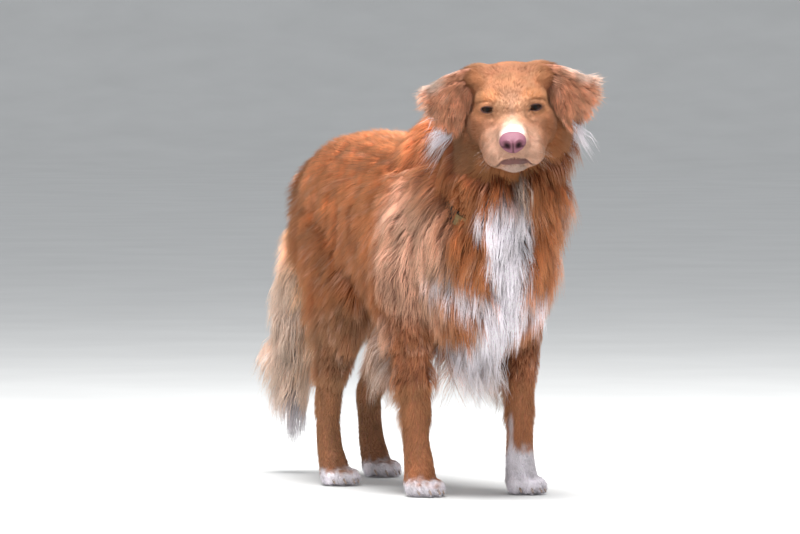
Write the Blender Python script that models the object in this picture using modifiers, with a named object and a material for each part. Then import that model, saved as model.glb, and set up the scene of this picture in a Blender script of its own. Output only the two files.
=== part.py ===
"""A Nova Scotia duck tolling retriever, standing, as a still life-size model.

The dog faces -Y, +Z is up and its left side is +X.  Metres.  The solids run out to the tips of
the coat.  The flesh is modelled whole: smooth rings of named sizes are joined into one skin of
even thickness, thinned, and parted into nodes by cuts 0.4 mm wide.  The tail, ears, eyes, nose,
claws and collar are solids of their own, each 0.3 mm clear of what it touches.
"""

import math

import bmesh
import bpy
import numpy as np
from mathutils import Matrix, Vector

# ---------------------------------------------------------------- driving dimensions
BACK_HEIGHT = 0.519          # top of the coat over the loin
EYE_HEIGHT = 0.5535
EYE_GAP = 0.067              # between the centres of the eyes
EYE_RADIUS = 0.0115
HEAD_YAW = math.radians(-27)  # the head is turned to the dog's own right
HEAD_PITCH = math.radians(-10)
HEAD_ROLL = math.radians(-3.0)
FACE_CENTRE = Vector((-0.020, -0.358, EYE_HEIGHT))   # midway between the eyes
CUT = 0.0004                 # width of a cut between two nodes of flesh
CLEAR = 0.0003               # gap round a piece set into the flesh
VOXEL = 0.0058
SMOOTHING = 5
SKIN_TRIANGLES = 2480
EAR_TRIANGLES = 230
RING_SIDES = 28
PATH_STEPS = 5               # rings between two stations

FRONT_PAW = {"right": Vector((-0.076, -0.190, 0)), "left": Vector((0.076, -0.212, 0))}
HIND_PAW = {"right": Vector((-0.076, 0.080, 0)), "left": Vector((0.066, 0.226, 0))}
SIDES = {"right": -1, "left": 1}
# Each toe's middle from its paw's middle: across, ahead.
TOES = ((-0.0195, -0.012), (-0.0072, -0.024), (0.0072, -0.024), (0.0195, -0.012))
THIGH_SHIFT = {"right": 0.030, "left": -0.020}
THIGH_TILT = math.radians(-22)
# How far behind its paw each hind leg's middle lies, from the hip down to the toes.
HIND_LEAN = {
    "right": (0.083, 0.055, -0.002, -0.026, -0.020, -0.002, 0.016, 0.026, 0.028, 0.022, 0.008),
    "left": (-0.050, -0.036, -0.036, -0.031, -0.021, -0.001, 0.019, 0.029, 0.028, 0.022, 0.008),
}

COLLAR_CENTRE = Vector((0.006, -0.262, 0.400))
COLLAR_AXIS = Vector((0.10, -0.42, 0.90)).normalized()
COLLAR_RADIUS = 0.078
COLLAR_WIDTH = 0.020
COLLAR_THICK = 0.0035
BUCKLE_SIZE = (0.026, 0.003, 0.016)    # along the band, thick, across
BUCKLE_AZIMUTH = -62                   # degrees round from the dog's front, towards its right
STRAP_AZIMUTH = 38                     # where the ruff parts again
OPENING_SIZE = (0.032, 0.074, 0.0206)

COAT_RED = (0.55, 0.21, 0.085)
COAT_PALE = (0.66, 0.44, 0.33)
COAT_WHITE = (0.80, 0.76, 0.74)
NOSE_PINK = (0.55, 0.22, 0.23)
EYE_BROWN = (0.035, 0.015, 0.010)
CLAW_HORN = (0.45, 0.36, 0.30)
WEB_BLACK = (0.012, 0.012, 0.014)
BRASS = (0.60, 0.42, 0.18)

HEAD_TURN = (
    Matrix.Rotation(HEAD_YAW, 3, "Z")
    @ Matrix.Rotation(-HEAD_PITCH, 3, "X")
    @ Matrix.Rotation(HEAD_ROLL, 3, "Y")
)


def in_head(across, forward, up):
    """A point of the head, from the midpoint of the eyes, as a point of the dog."""
    return FACE_CENTRE + HEAD_TURN @ Vector((across, -forward, up))


# ---------------------------------------------------------------- scene and materials
def clear_scene():
    for obj in list(bpy.data.objects):
        bpy.data.objects.remove(obj, do_unlink=True)


def new_collection(name, hidden=False):
    collection = bpy.data.collections.new(name)
    collection.hide_render = hidden
    bpy.context.scene.collection.children.link(collection)
    return collection


def material(name, colour, roughness, metallic=0.0):
    made = bpy.data.materials.new(name)
    made.use_nodes = True
    shader = made.node_tree.nodes["Principled BSDF"]
    shader.inputs["Base Color"].default_value = (*colour, 1.0)
    shader.inputs["Roughness"].default_value = roughness
    shader.inputs["Metallic"].default_value = metallic
    made.diffuse_color = (*colour, 1.0)
    return made


# ---------------------------------------------------------------- mesh helpers
def mesh_object(name, points, faces, collection):
    mesh = bpy.data.meshes.new(name)
    mesh.from_pydata([tuple(p) for p in points], [], faces)
    mesh.update()
    obj = bpy.data.objects.new(name, mesh)
    collection.objects.link(obj)
    return obj


def applied(obj):
    """The object with its modifiers turned into its mesh."""
    bpy.context.view_layer.update()
    graph = bpy.context.evaluated_depsgraph_get()
    mesh = bpy.data.meshes.new_from_object(obj.evaluated_get(graph))
    obj.modifiers.clear()
    obj.data = mesh
    return obj


def placed(obj):
    """The object's place put into its mesh."""
    bpy.context.view_layer.update()
    obj.data.transform(obj.matrix_world)
    obj.matrix_world = Matrix.Identity(4)
    return obj


def outward(obj):
    bm = bmesh.new()
    bm.from_mesh(obj.data)
    bmesh.ops.recalc_face_normals(bm, faces=bm.faces)
    bm.to_mesh(obj.data)
    bm.free()
    return obj


def copy_of(obj, name, collection):
    twin = bpy.data.objects.new(name, obj.data.copy())
    collection.objects.link(twin)
    return twin


def boolean(obj, other, operation):
    modifier = obj.modifiers.new(operation.title(), "BOOLEAN")
    modifier.operation = operation
    modifier.object = other
    return applied(obj)


def grown(obj, name, depth, collection):
    """A copy of a closed solid with each point moved out along its normal."""
    twin = copy_of(obj, name, collection)
    mesh = twin.data
    points = np.empty(len(mesh.vertices) * 3)
    mesh.vertices.foreach_get("co", points)
    normals = np.empty(len(mesh.vertices) * 3)
    mesh.vertex_normals.foreach_get("vector", normals)
    mesh.vertices.foreach_set("co", points + depth * normals)
    mesh.update()
    return twin


def joined(name, objects, collection):
    """One object holding all these closed shells, overlapping as they are."""
    bm = bmesh.new()
    for obj in objects:
        bm.from_mesh(obj.data)
        bpy.data.objects.remove(obj)
    whole = mesh_object(name, [], [], collection)
    bm.to_mesh(whole.data)
    bm.free()
    return whole


# ---------------------------------------------------------------- rings along a path
def smooth_rows(stations, steps):
    """Catmull-Rom rows through the stations, which are rows of numbers."""
    rows = np.array(stations, float)
    ends = np.vstack([2 * rows[0] - rows[1], rows, 2 * rows[-1] - rows[-2]])
    out = []
    for i in range(1, len(ends) - 2):
        before, a, b, after = ends[i - 1 : i + 3]
        for t in np.arange(steps) / steps:
            out.append(
                0.5
                * (
                    2 * a
                    + (b - before) * t
                    + (2 * before - 5 * a + 4 * b - after) * t**2
                    + (3 * a - before - 3 * b + after) * t**3
                )
            )
    out.append(rows[-1])
    return np.array(out)


def loft(name, stations, collection, squareness=2.2, sides=RING_SIDES, lateral=(1, 0, 0), steps=PATH_STEPS):
    """A closed body through stations (x, y, z, half_width, above, below).

    Each ring lies square to the path.  half_width is measured along `lateral`, and above and
    below along the ring's own upward side, which is the path's direction crossed with it.
    """
    rows = smooth_rows(stations, steps)
    centres = rows[:, :3]
    tangents = np.gradient(centres, axis=0)
    tangents /= np.linalg.norm(tangents, axis=1)[:, None]
    side = np.array(lateral, float)
    side = side - (tangents @ side)[:, None] * tangents
    side /= np.linalg.norm(side, axis=1)[:, None]
    rise = np.cross(tangents, side)
    angle = np.linspace(0, 2 * np.pi, sides, endpoint=False)
    power = 2 / squareness
    wide = np.sign(np.cos(angle)) * np.abs(np.cos(angle)) ** power
    tall = np.sign(np.sin(angle)) * np.abs(np.sin(angle)) ** power
    size = np.maximum(rows[:, 3:], 0.0008)
    reach = np.where(tall[None, :] > 0, size[:, 1:2], size[:, 2:3]) * tall[None, :]
    points = (
        centres[:, None, :]
        + (size[:, 0:1] * wide[None, :])[..., None] * side[:, None, :]
        + reach[..., None] * rise[:, None, :]
    ).reshape(-1, 3)
    faces = []
    for i in range(len(rows) - 1):
        for j in range(sides):
            k = (j + 1) % sides
            faces.append((i * sides + j, i * sides + k, (i + 1) * sides + k, (i + 1) * sides + j))
    faces.append(tuple(range(sides))[::-1])
    faces.append(tuple(range((len(rows) - 1) * sides, len(rows) * sides)))
    return outward(mesh_object(name, points, faces, collection))


def ball(name, centre, radii, collection, turn=None, detail=3):
    """An ellipsoid.  `turn` is the 3x3 rotation that its radii are measured in."""
    bm = bmesh.new()
    bmesh.ops.create_icosphere(bm, subdivisions=detail, radius=1.0)
    obj = mesh_object(name, [], [], collection)
    bm.to_mesh(obj.data)
    bm.free()
    frame = (turn or Matrix.Identity(3)).to_4x4()
    obj.matrix_world = Matrix.Translation(centre) @ frame @ Matrix.Diagonal((*radii, 1))
    return placed(obj)


def head_ball(name, across, forward, up, radii, collection, detail=3):
    return ball(name, in_head(across, forward, up), radii, collection, HEAD_TURN, detail)


def box(name, centre, size, collection, turn=None):
    bm = bmesh.new()
    bmesh.ops.create_cube(bm, size=1.0)
    obj = mesh_object(name, [], [], collection)
    bm.to_mesh(obj.data)
    bm.free()
    frame = (turn or Matrix.Identity(3)).to_4x4()
    obj.matrix_world = Matrix.Translation(centre) @ frame @ Matrix.Diagonal((*size, 1))
    return placed(obj)


# ---------------------------------------------------------------- flesh
def trunk_shells(collection):
    """Rump to breast, and the fringes that hang under the breast."""
    # y, top, bottom, half width, x
    profile = [
        (0.266, 0.425, 0.350, 0.024, 0.000),
        (0.256, 0.458, 0.322, 0.048, 0.000),
        (0.225, 0.490, 0.296, 0.072, 0.000),
        (0.170, 0.509, 0.284, 0.091, 0.000),
        (0.110, BACK_HEIGHT, 0.280, 0.103, 0.000),
        (0.040, BACK_HEIGHT - 0.001, 0.276, 0.109, 0.000),
        (-0.030, 0.514, 0.256, 0.117, 0.000),
        (-0.100, 0.514, 0.230, 0.119, 0.000),
        (-0.160, 0.514, 0.210, 0.117, 0.002),
        (-0.215, 0.492, 0.205, 0.113, 0.004),
        (-0.262, 0.460, 0.215, 0.100, 0.006),
        (-0.295, 0.430, 0.245, 0.072, 0.006),
        (-0.312, 0.395, 0.285, 0.038, 0.006),
    ]
    stations = [
        (x, y, (top + low) / 2, wide, (top - low) / 2, (top - low) / 2)
        for y, top, low, wide, x in profile
    ]
    barrel = loft("barrel", stations, collection, squareness=2.25, sides=36)
    bib = ball("bib", (0.004, -0.262, 0.325), (0.080, 0.054, 0.115), collection)
    fringe = loft(
        "fringe",
        [
            (0.008, -0.195, 0.240, 0.060, 0.075, 0.075),
            (0.010, -0.210, 0.195, 0.048, 0.062, 0.062),
            (0.012, -0.218, 0.160, 0.030, 0.042, 0.048),
            (0.014, -0.222, 0.132, 0.010, 0.018, 0.022),
        ],
        collection,
    )
    belly = loft(
        "belly_fringe",
        [
            (-0.020, 0.090, 0.285, 0.055, 0.012, 0.012),
            (-0.022, 0.030, 0.262, 0.058, 0.018, 0.018),
            (-0.026, -0.040, 0.236, 0.060, 0.022, 0.034),
            (-0.028, -0.100, 0.220, 0.056, 0.022, 0.050),
            (-0.024, -0.150, 0.220, 0.040, 0.020, 0.030),
        ],
        collection,
    )
    return [barrel, bib, fringe, belly]


def neck_shells(collection):
    """The ruff, from under the jaw down into the breast, and the arched nape."""
    ruff = loft(
        "ruff",
        [
            (0.012, -0.292, 0.540, 0.070, 0.050, 0.040),
            (0.010, -0.292, 0.505, 0.092, 0.072, 0.066),
            (0.008, -0.288, 0.465, 0.104, 0.084, 0.078),
            (0.007, -0.274, 0.410, 0.103, 0.098, 0.078),
            (0.004, -0.252, 0.355, 0.103, 0.104, 0.074),
            (0.004, -0.230, 0.310, 0.096, 0.090, 0.068),
        ],
        collection,
        squareness=2.3,
        sides=32,
    )
    nape = loft(
        "nape",
        [
            (0.022, -0.268, 0.552, 0.052, 0.040, 0.040),
            (0.014, -0.228, 0.520, 0.070, 0.055, 0.060),
            (0.006, -0.180, 0.484, 0.086, 0.060, 0.080),
            (0.002, -0.120, 0.450, 0.096, 0.070, 0.080),
        ],
        collection,
    )
    return [ruff, nape]


def head_shells(collection):
    """Cranium, brows, cheeks and the muzzle with its flews and chin."""
    shells = [
        head_ball("cranium", 0, -0.066, 0.000, (0.063, 0.070, 0.055), collection),
        head_ball("forehead", 0, -0.030, 0.014, (0.055, 0.039, 0.039), collection),
        head_ball("jowl", 0, -0.045, -0.045, (0.058, 0.055, 0.046), collection),
        head_ball("chin", 0, 0.048, -0.070, (0.023, 0.036, 0.014), collection),
    ]
    for side, sign in SIDES.items():
        shells += [
            head_ball(f"cheek_{side}", sign * 0.036, -0.022, -0.028, (0.026, 0.040, 0.036), collection),
            head_ball(f"brow_{side}", sign * 0.028, -0.008, 0.018, (0.021, 0.015, 0.013), collection),
            head_ball(f"flew_{side}", sign * 0.0225, 0.050, -0.053, (0.0235, 0.034, 0.024), collection),
            head_ball(f"ear_seat_{side}", sign * 0.045, -0.058, 0.038, (0.020, 0.030, 0.020), collection),
            head_ball(f"sideburn_{side}", sign * 0.056, -0.060, -0.052, (0.034, 0.046, 0.050), collection),
        ]
    # forward, top, bottom, half width of the bridge and muzzle
    bridge = [
        (-0.030, 0.004, -0.070, 0.044),
        (-0.005, 0.002, -0.074, 0.041),
        (0.020, -0.006, -0.074, 0.037),
        (0.045, -0.011, -0.074, 0.035),
        (0.068, -0.014, -0.072, 0.031),
        (0.082, -0.018, -0.066, 0.025),
        (0.089, -0.026, -0.056, 0.014),
    ]
    stations = []
    for forward, top, low, wide in bridge:
        centre = in_head(0, forward, (top + low) / 2)
        stations.append((*centre, wide, (top - low) / 2, (top - low) / 2))
    lateral = HEAD_TURN @ Vector((1, 0, 0))
    shells.append(loft("muzzle", stations, collection, 2.5, lateral=lateral))
    return shells


def toe_shells(name, paw, scale, collection):
    """Four toes and a heel pad round the paw's centre."""
    shells = [
        ball(f"{name}_heel", paw + Vector((0, 0.006, 0.0185)), (0.023, 0.027, 0.0215), collection)
    ]
    for i, (across, ahead) in enumerate(TOES):
        centre = paw + Vector((across, ahead, 0.0120))
        radii = (0.0095 * scale, 0.0185 * scale, 0.015 * scale)
        shells.append(ball(f"{name}_toe_{i}", centre, radii, collection))
    return shells


def front_leg_shells(side, collection):
    """Shoulder, forearm with its feathering, pastern and paw."""
    sign = SIDES[side]
    paw = FRONT_PAW[side]
    y = paw.y
    x = sign * 0.078
    leg = loft(
        f"forearm_{side}",
        [
            (sign * 0.060, y + 0.036, 0.440, 0.030, 0.050, 0.060),
            (sign * 0.074, y + 0.032, 0.395, 0.042, 0.064, 0.070),
            (sign * 0.083, y + 0.028, 0.340, 0.044, 0.066, 0.072),
            (sign * 0.086, y + 0.024, 0.285, 0.040, 0.056, 0.066),
            (sign * 0.083, y + 0.018, 0.235, 0.032, 0.042, 0.052),
            (sign * 0.081, y + 0.016, 0.190, 0.0280, 0.033, 0.041),
            (x, y + 0.014, 0.145, 0.0225, 0.027, 0.031),
            (x, y + 0.012, 0.115, 0.0220, 0.026, 0.028),
            (x, y + 0.012, 0.080, 0.0200, 0.023, 0.025),
            (paw.x, y + 0.008, 0.050, 0.0215, 0.025, 0.026),
            (paw.x, y + 0.004, 0.022, 0.0240, 0.028, 0.026),
        ],
        collection,
    )
    feather = loft(
        f"elbow_feather_{side}",
        [
            (sign * 0.084, y + 0.060, 0.310, 0.026, 0.020, 0.020),
            (sign * 0.080, y + 0.082, 0.265, 0.018, 0.030, 0.030),
            (sign * 0.078, y + 0.084, 0.215, 0.014, 0.036, 0.030),
            (sign * 0.077, y + 0.070, 0.165, 0.011, 0.034, 0.026),
            (sign * 0.076, y + 0.048, 0.120, 0.008, 0.022, 0.016),
        ],
        collection,
    )
    return [leg, feather] + toe_shells(f"front_paw_{side}", paw, 1.0, collection)


def hind_leg_shells(side, collection):
    """Thigh with its breeches, stifle, shank, hock, metatarsus and paw."""
    sign = SIDES[side]
    paw = HIND_PAW[side]
    # x, height, half width, before, behind
    sizes = [
        (0.050, 0.410, 0.040, 0.064, 0.062),
        (0.066, 0.375, 0.043, 0.076, 0.066),
        (0.076, 0.320, 0.043, 0.080, 0.078),
        (0.080, 0.275, 0.039, 0.074, 0.074),
        (0.080, 0.235, 0.034, 0.060, 0.062),
        (0.079, 0.190, 0.027, 0.041, 0.043),
        (0.078, 0.155, 0.0215, 0.028, 0.029),
        (paw.x * sign, 0.125, 0.0205, 0.026, 0.028),
        (paw.x * sign, 0.095, 0.0185, 0.022, 0.024),
        (paw.x * sign, 0.055, 0.0195, 0.023, 0.024),
        (paw.x * sign, 0.022, 0.0225, 0.026, 0.024),
    ]
    stations = [
        (sign * x, paw.y + lean, height, wide, before, behind)
        for (x, height, wide, before, behind), lean in zip(sizes, HIND_LEAN[side])
    ]
    leg = loft(f"shank_{side}", stations, collection)
    return [leg] + toe_shells(f"hind_paw_{side}", paw, 0.97, collection)


def whole_flesh(helpers):
    """Every shell of the flesh made into one even closed skin, smoothed and thinned."""
    shells = trunk_shells(helpers) + neck_shells(helpers) + head_shells(helpers)
    for side in SIDES:
        shells += front_leg_shells(side, helpers) + hind_leg_shells(side, helpers)
    flesh = joined("flesh", shells, helpers)
    even = flesh.modifiers.new("Even", "REMESH")
    even.mode = "VOXEL"
    even.voxel_size = VOXEL
    soften = flesh.modifiers.new("Soften", "SMOOTH")
    soften.factor = 0.5
    soften.iterations = SMOOTHING
    applied(flesh)
    thin = flesh.modifiers.new("Thin", "DECIMATE")
    flesh.data.calc_loop_triangles()
    thin.ratio = SKIN_TRIANGLES / len(flesh.data.loop_triangles)
    applied(flesh)
    floor = box("floor_cutter", (0, 0, -0.05), (2, 2, 0.1), helpers)
    return boolean(flesh, floor, "DIFFERENCE")


# ---------------------------------------------------------------- parting the flesh
def half_space(point, normal, size=1.4):
    """Centre, size and turn of a box that fills the normal's side of a plane."""
    turn = Vector(normal).to_track_quat("Z", "Y").to_matrix()
    return Vector(point) + turn @ Vector((0, 0, size / 2)), Vector((size, size, size)), turn


def below(side, inner, y, length, level):
    """Centre, size and turn of an upright box round one leg, from under the floor to a level."""
    depth = level + 0.1
    centre = Vector((SIDES[side] * (inner + 0.1), y, level - depth / 2))
    return centre, Vector((0.2, length, depth)), None


def part_off(flesh, name, region, parts, helpers):
    """Moves what lies inside the region to a node of its own, with a cut left round it."""
    centre, size, turn = region
    piece = copy_of(flesh, name, parts)
    inside = box(name + "_region", centre, size, helpers, turn)
    largest_piece(boolean(piece, inside, "INTERSECT"))
    margin = Vector((2 * CUT, 2 * CUT, 2 * CUT))
    wider = box(name + "_margin", centre, size + margin, helpers, turn)
    boolean(flesh, wider, "DIFFERENCE")
    return piece


def regions():
    """Head, neck in two lengths, and each leg from the paw upwards, in the order they come off."""
    yield "head", half_space(in_head(0, -0.050, -0.030), HEAD_TURN @ Vector((0, -0.62, 0.78)))
    yield "neck_upper", half_space(COLLAR_CENTRE, COLLAR_AXIS)
    yield "neck_lower", half_space((0.006, -0.222, 0.345), (0.05, -0.62, 0.78))
    for side in SIDES:
        y = FRONT_PAW[side].y + 0.045
        for name, level in (("paw", 0.062), ("leg", 0.262)):
            yield f"front_{name}_{side}", below(side, 0.036, y, 0.28, level)
        y = HIND_PAW[side].y + 0.015
        for name, level in (("paw", 0.060), ("leg", 0.225)):
            yield f"hind_{name}_{side}", below(side, 0.022, y, 0.24, level)
        hip = Vector((SIDES[side] * 0.130, HIND_PAW[side].y + THIGH_SHIFT[side], 0.290))
        turn = Matrix.Rotation(THIGH_TILT, 3, "X")
        yield f"thigh_{side}", (hip, Vector((0.2, 0.26, 0.17)), turn)


def part_flesh(flesh, parts, helpers):
    """The flesh as nodes; the trunk is what stays."""
    pieces = {name: part_off(flesh, name, region, parts, helpers) for name, region in regions()}
    pieces["trunk"] = largest_piece(copy_of(flesh, "trunk", parts))
    return pieces


# ---------------------------------------------------------------- set-in and worn pieces
def tail(trunk, parts, helpers):
    """A hanging plume, drawn in to a narrow tip."""
    plume = loft(
        "tail",
        [
            (0.000, 0.215, 0.438, 0.030, 0.030, 0.026),
            (-0.002, 0.250, 0.425, 0.031, 0.030, 0.027),
            (-0.006, 0.276, 0.385, 0.034, 0.030, 0.030),
            (-0.010, 0.308, 0.335, 0.037, 0.034, 0.036),
            (-0.012, 0.333, 0.275, 0.040, 0.040, 0.044),
            (-0.012, 0.345, 0.212, 0.041, 0.044, 0.047),
            (-0.012, 0.352, 0.155, 0.038, 0.042, 0.044),
            (-0.012, 0.356, 0.118, 0.029, 0.031, 0.033),
            (-0.012, 0.360, 0.084, 0.020, 0.020, 0.022),
            (-0.012, 0.361, 0.044, 0.007, 0.007, 0.008),
        ],
        parts,
        sides=14,
        steps=2,
    )
    wider = grown(trunk, "trunk_wider", CLEAR, helpers)
    boolean(plume, wider, "DIFFERENCE")
    return largest_piece(plume)


def largest_piece(obj):
    """Keeps the biggest of an object's separate bodies."""
    bm = bmesh.new()
    bm.from_mesh(obj.data)
    left = set(bm.verts)
    bodies = []
    while left:
        seed = left.pop()
        body = {seed}
        edge = [seed]
        while edge:
            vertex = edge.pop()
            for link in vertex.link_edges:
                other = link.other_vert(vertex)
                if other in left:
                    left.remove(other)
                    body.add(other)
                    edge.append(other)
        bodies.append(body)
    bodies.sort(key=len, reverse=True)
    bmesh.ops.delete(bm, geom=[v for body in bodies[1:] for v in body], context="VERTS")
    bm.to_mesh(obj.data)
    bm.free()
    return obj


def ear(side, seats, parts, helpers):
    """A drop ear held out from the head: a folded three-cornered flap, thick with its fringe.

    Across the flap runs u, from the front edge beside the cheek to the fringed back edge, and
    down it runs v, from the fold on the skull to the rounded tip.
    """
    sign = SIDES[side]
    peak = np.array((0.044, -0.045, 0.058))
    corner = np.array((0.127, -0.068, 0.019))
    tip = np.array((0.079, -0.038, -0.040))
    inner = np.array((0.052, -0.026, 0.000))
    across, down = 12, 12
    u, v = np.meshgrid(np.linspace(0, 1, across), np.linspace(0, 1, down))
    u, v = u[..., None], v[..., None]
    front = (1 - v) ** 2 * peak + 2 * v * (1 - v) * inner + v**2 * tip
    back_bulge = np.array((0.134, -0.056, -0.022))
    back = (1 - v) ** 2 * corner + 2 * v * (1 - v) * back_bulge + v**2 * tip
    sheet = (1 - u) * front + u * back
    arch = np.array((0.004, 0.010, 0.013))
    sheet = sheet + 4 * u * (1 - u) * (1 - v) * arch
    sheet = sheet + np.array((0, 0.006, 0)) * np.sin(np.pi * u) * np.sin(np.pi * v)
    thick = 0.0050 * np.sqrt(np.clip(np.sin(np.pi * np.clip(u, 0.02, 0.98)), 0, 1)) + 0.0022
    thick = thick * (1 - 0.35 * v)
    top = sheet + thick * np.array((0, 1, 0.15))
    low = sheet - thick * np.array((0, 1, 0.15))
    points = np.concatenate([top.reshape(-1, 3), low.reshape(-1, 3)])
    count = across * down
    faces = []
    for i in range(down - 1):
        for j in range(across - 1):
            a, b = i * across + j, i * across + j + 1
            c, d = b + across, a + across
            faces += [(a, b, c, d), (d + count, c + count, b + count, a + count)]
    for i in range(down - 1):
        for j in (0, across - 1):
            a, d = i * across + j, (i + 1) * across + j
            faces.append((a, d, d + count, a + count) if j == 0 else (d, a, a + count, d + count))
    for j in range(across - 1):
        faces.append((j + 1, j, j + count, j + 1 + count))
        last = (down - 1) * across + j
        faces.append((last, last + 1, last + 1 + count, last + count))
    points = [in_head(sign * x, f, h) for x, f, h in points]
    flap = mesh_object(f"ear_{side}_flap", points, faces, helpers)
    bm = bmesh.new()
    bm.from_mesh(flap.data)
    bmesh.ops.remove_doubles(bm, verts=bm.verts, dist=0.0001)
    bmesh.ops.recalc_face_normals(bm, faces=bm.faces)
    bm.to_mesh(flap.data)
    bm.free()
    root = head_ball(f"ear_{side}_root", sign * 0.056, -0.052, 0.046, (0.017, 0.022, 0.014), helpers)
    whole = joined(f"ear_{side}", [flap, root], parts)
    even = whole.modifiers.new("Even", "REMESH")
    even.mode = "VOXEL"
    even.voxel_size = 0.0022
    soften = whole.modifiers.new("Soften", "SMOOTH")
    soften.iterations = 4
    applied(whole)
    thin = whole.modifiers.new("Thin", "DECIMATE")
    whole.data.calc_loop_triangles()
    thin.ratio = EAR_TRIANGLES / len(whole.data.loop_triangles)
    applied(whole)
    for seat in seats:
        boolean(whole, grown(seat, f"{seat.name}_wider_{side}", CLEAR, helpers), "DIFFERENCE")
    return largest_piece(whole)


def eye(side, head, parts, helpers):
    """An eyeball in a socket of its own shape."""
    sign = SIDES[side]
    place = (sign * EYE_GAP / 2, -0.0105, 0.0)
    globe = head_ball(f"eye_{side}", *place, (EYE_RADIUS,) * 3, parts, detail=2)
    socket = head_ball(f"socket_{side}", *place, (EYE_RADIUS + CLEAR,) * 3, helpers, detail=2)
    channel = head_ball(
        f"eye_opening_{side}", sign * EYE_GAP / 2, 0.004, 0.0, (0.0095, 0.016, 0.0062), helpers
    )
    boolean(head, socket, "DIFFERENCE")
    boolean(head, channel, "DIFFERENCE")
    return globe


def nose(head, parts, helpers):
    """The nose leather: a rounded block, wider at the top, with two nostrils."""
    leather = head_ball("nose", 0, 0.0885, -0.030, (0.0190, 0.0115, 0.0150), parts, 2)
    wide_top = head_ball("nose_top", 0, 0.0850, -0.0235, (0.0185, 0.0125, 0.0090), helpers, 2)
    boolean(leather, wide_top, "UNION")
    for side, sign in SIDES.items():
        nostril = head_ball(
            f"nostril_{side}", sign * 0.0092, 0.0995, -0.0295, (0.0036, 0.0050, 0.0036), helpers, 1
        )
        boolean(leather, nostril, "DIFFERENCE")
    wider = grown(leather, "nose_wider", CLEAR, helpers)
    boolean(head, wider, "DIFFERENCE")
    return leather


def claws(name, paw, flesh, parts, helpers):
    """Four short blunt claws, one at the front of each toe, clear of the floor."""
    made = []
    for i, (across, ahead) in enumerate(TOES):
        tip = paw + Vector((across, ahead - 0.0215, 0.0045))
        root = paw + Vector((across, ahead - 0.0060, 0.0135))
        middle = (tip + root) / 2 + Vector((0, -0.0008, 0.0016))
        stations = [
            (*root, 0.0020, 0.0026, 0.0026),
            (*middle, 0.0019, 0.0024, 0.0024),
            (*tip, 0.0009, 0.0011, 0.0011),
        ]
        claw = loft(f"{name}_claw_{i + 1}", stations, parts, sides=7, steps=1)
        wider = grown(claw, claw.name + "_wider", CLEAR, helpers)
        boolean(flesh, wider, "DIFFERENCE")
        made.append(claw)
    return made


def ring_band(name, inner, outer, width, collection, sides=24):
    """A flat band round the collar's axis, as a turned rectangle."""
    turn = COLLAR_AXIS.to_track_quat("Z", "Y").to_matrix().to_4x4()
    half = width / 2
    profile = [(outer, half), (outer, -half), (inner, -half), (inner, half)]
    band = mesh_object(
        name,
        [(r, 0, z) for r, z in profile],
        [],
        collection,
    )
    bm = bmesh.new()
    bm.from_mesh(band.data)
    bm.verts.ensure_lookup_table()
    for i in range(4):
        bm.edges.new((bm.verts[i], bm.verts[(i + 1) % 4]))
    bm.to_mesh(band.data)
    bm.free()
    screw = band.modifiers.new("Turn", "SCREW")
    screw.steps = sides
    screw.render_steps = sides
    screw.use_merge_vertices = True
    screw.merge_threshold = 0.00005
    applied(band)
    band.matrix_world = Matrix.Translation(COLLAR_CENTRE) @ turn
    return outward(placed(band))


def round_collar(azimuth):
    """A frame on the collar at an azimuth from the dog's front: along the band, out, and across."""
    angle = math.radians(azimuth - 90)
    out = Vector((math.cos(angle), math.sin(angle), 0))
    out = (out - out.dot(COLLAR_AXIS) * COLLAR_AXIS).normalized()
    return out, Matrix((out.cross(COLLAR_AXIS), out, COLLAR_AXIS)).transposed()


def collar(necks, parts, helpers):
    """A webbing band deep in the ruff, with a buckle plate; the ruff opens over it at two places."""
    inner = COLLAR_RADIUS - COLLAR_THICK
    band = ring_band("collar_band", inner, COLLAR_RADIUS, COLLAR_WIDTH, parts)
    groove_width = COLLAR_WIDTH + 2 * CLEAR
    groove = ring_band("collar_groove", inner - CLEAR, COLLAR_RADIUS + CLEAR, groove_width, helpers)
    out, frame = round_collar(BUCKLE_AZIMUTH)
    plate = COLLAR_RADIUS + CLEAR + BUCKLE_SIZE[1] / 2
    buckle = box("collar_buckle", COLLAR_CENTRE + out * plate, BUCKLE_SIZE, parts, frame)
    cutters = [groove]
    for azimuth in (BUCKLE_AZIMUTH, STRAP_AZIMUTH):
        out, frame = round_collar(azimuth)
        middle = COLLAR_CENTRE + out * (inner - CLEAR + OPENING_SIZE[1] / 2)
        cutters.append(box(f"opening_{azimuth}", middle, OPENING_SIZE, helpers, frame))
    for neck in necks:
        for cutter in cutters:
            boolean(neck, cutter, "DIFFERENCE")
        largest_piece(neck)
    return band, buckle


# ---------------------------------------------------------------- the dog
def finish(obj, made):
    obj.data.materials.clear()
    obj.data.materials.append(made)
    obj.data.shade_smooth()
    obj.data.set_sharp_from_angle(angle=math.radians(40))


def centre_on_origin(collection):
    """Moves everything so that the box's middle stands over the origin, soles at z = 0."""
    low = np.full(3, np.inf)
    high = np.full(3, -np.inf)
    for obj in collection.objects:
        points = np.array([v.co for v in obj.data.vertices])
        low, high = np.minimum(low, points.min(0)), np.maximum(high, points.max(0))
    shift = Matrix.Translation((-(low[0] + high[0]) / 2, -(low[1] + high[1]) / 2, -low[2]))
    for obj in collection.objects:
        obj.data.transform(shift)


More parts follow.
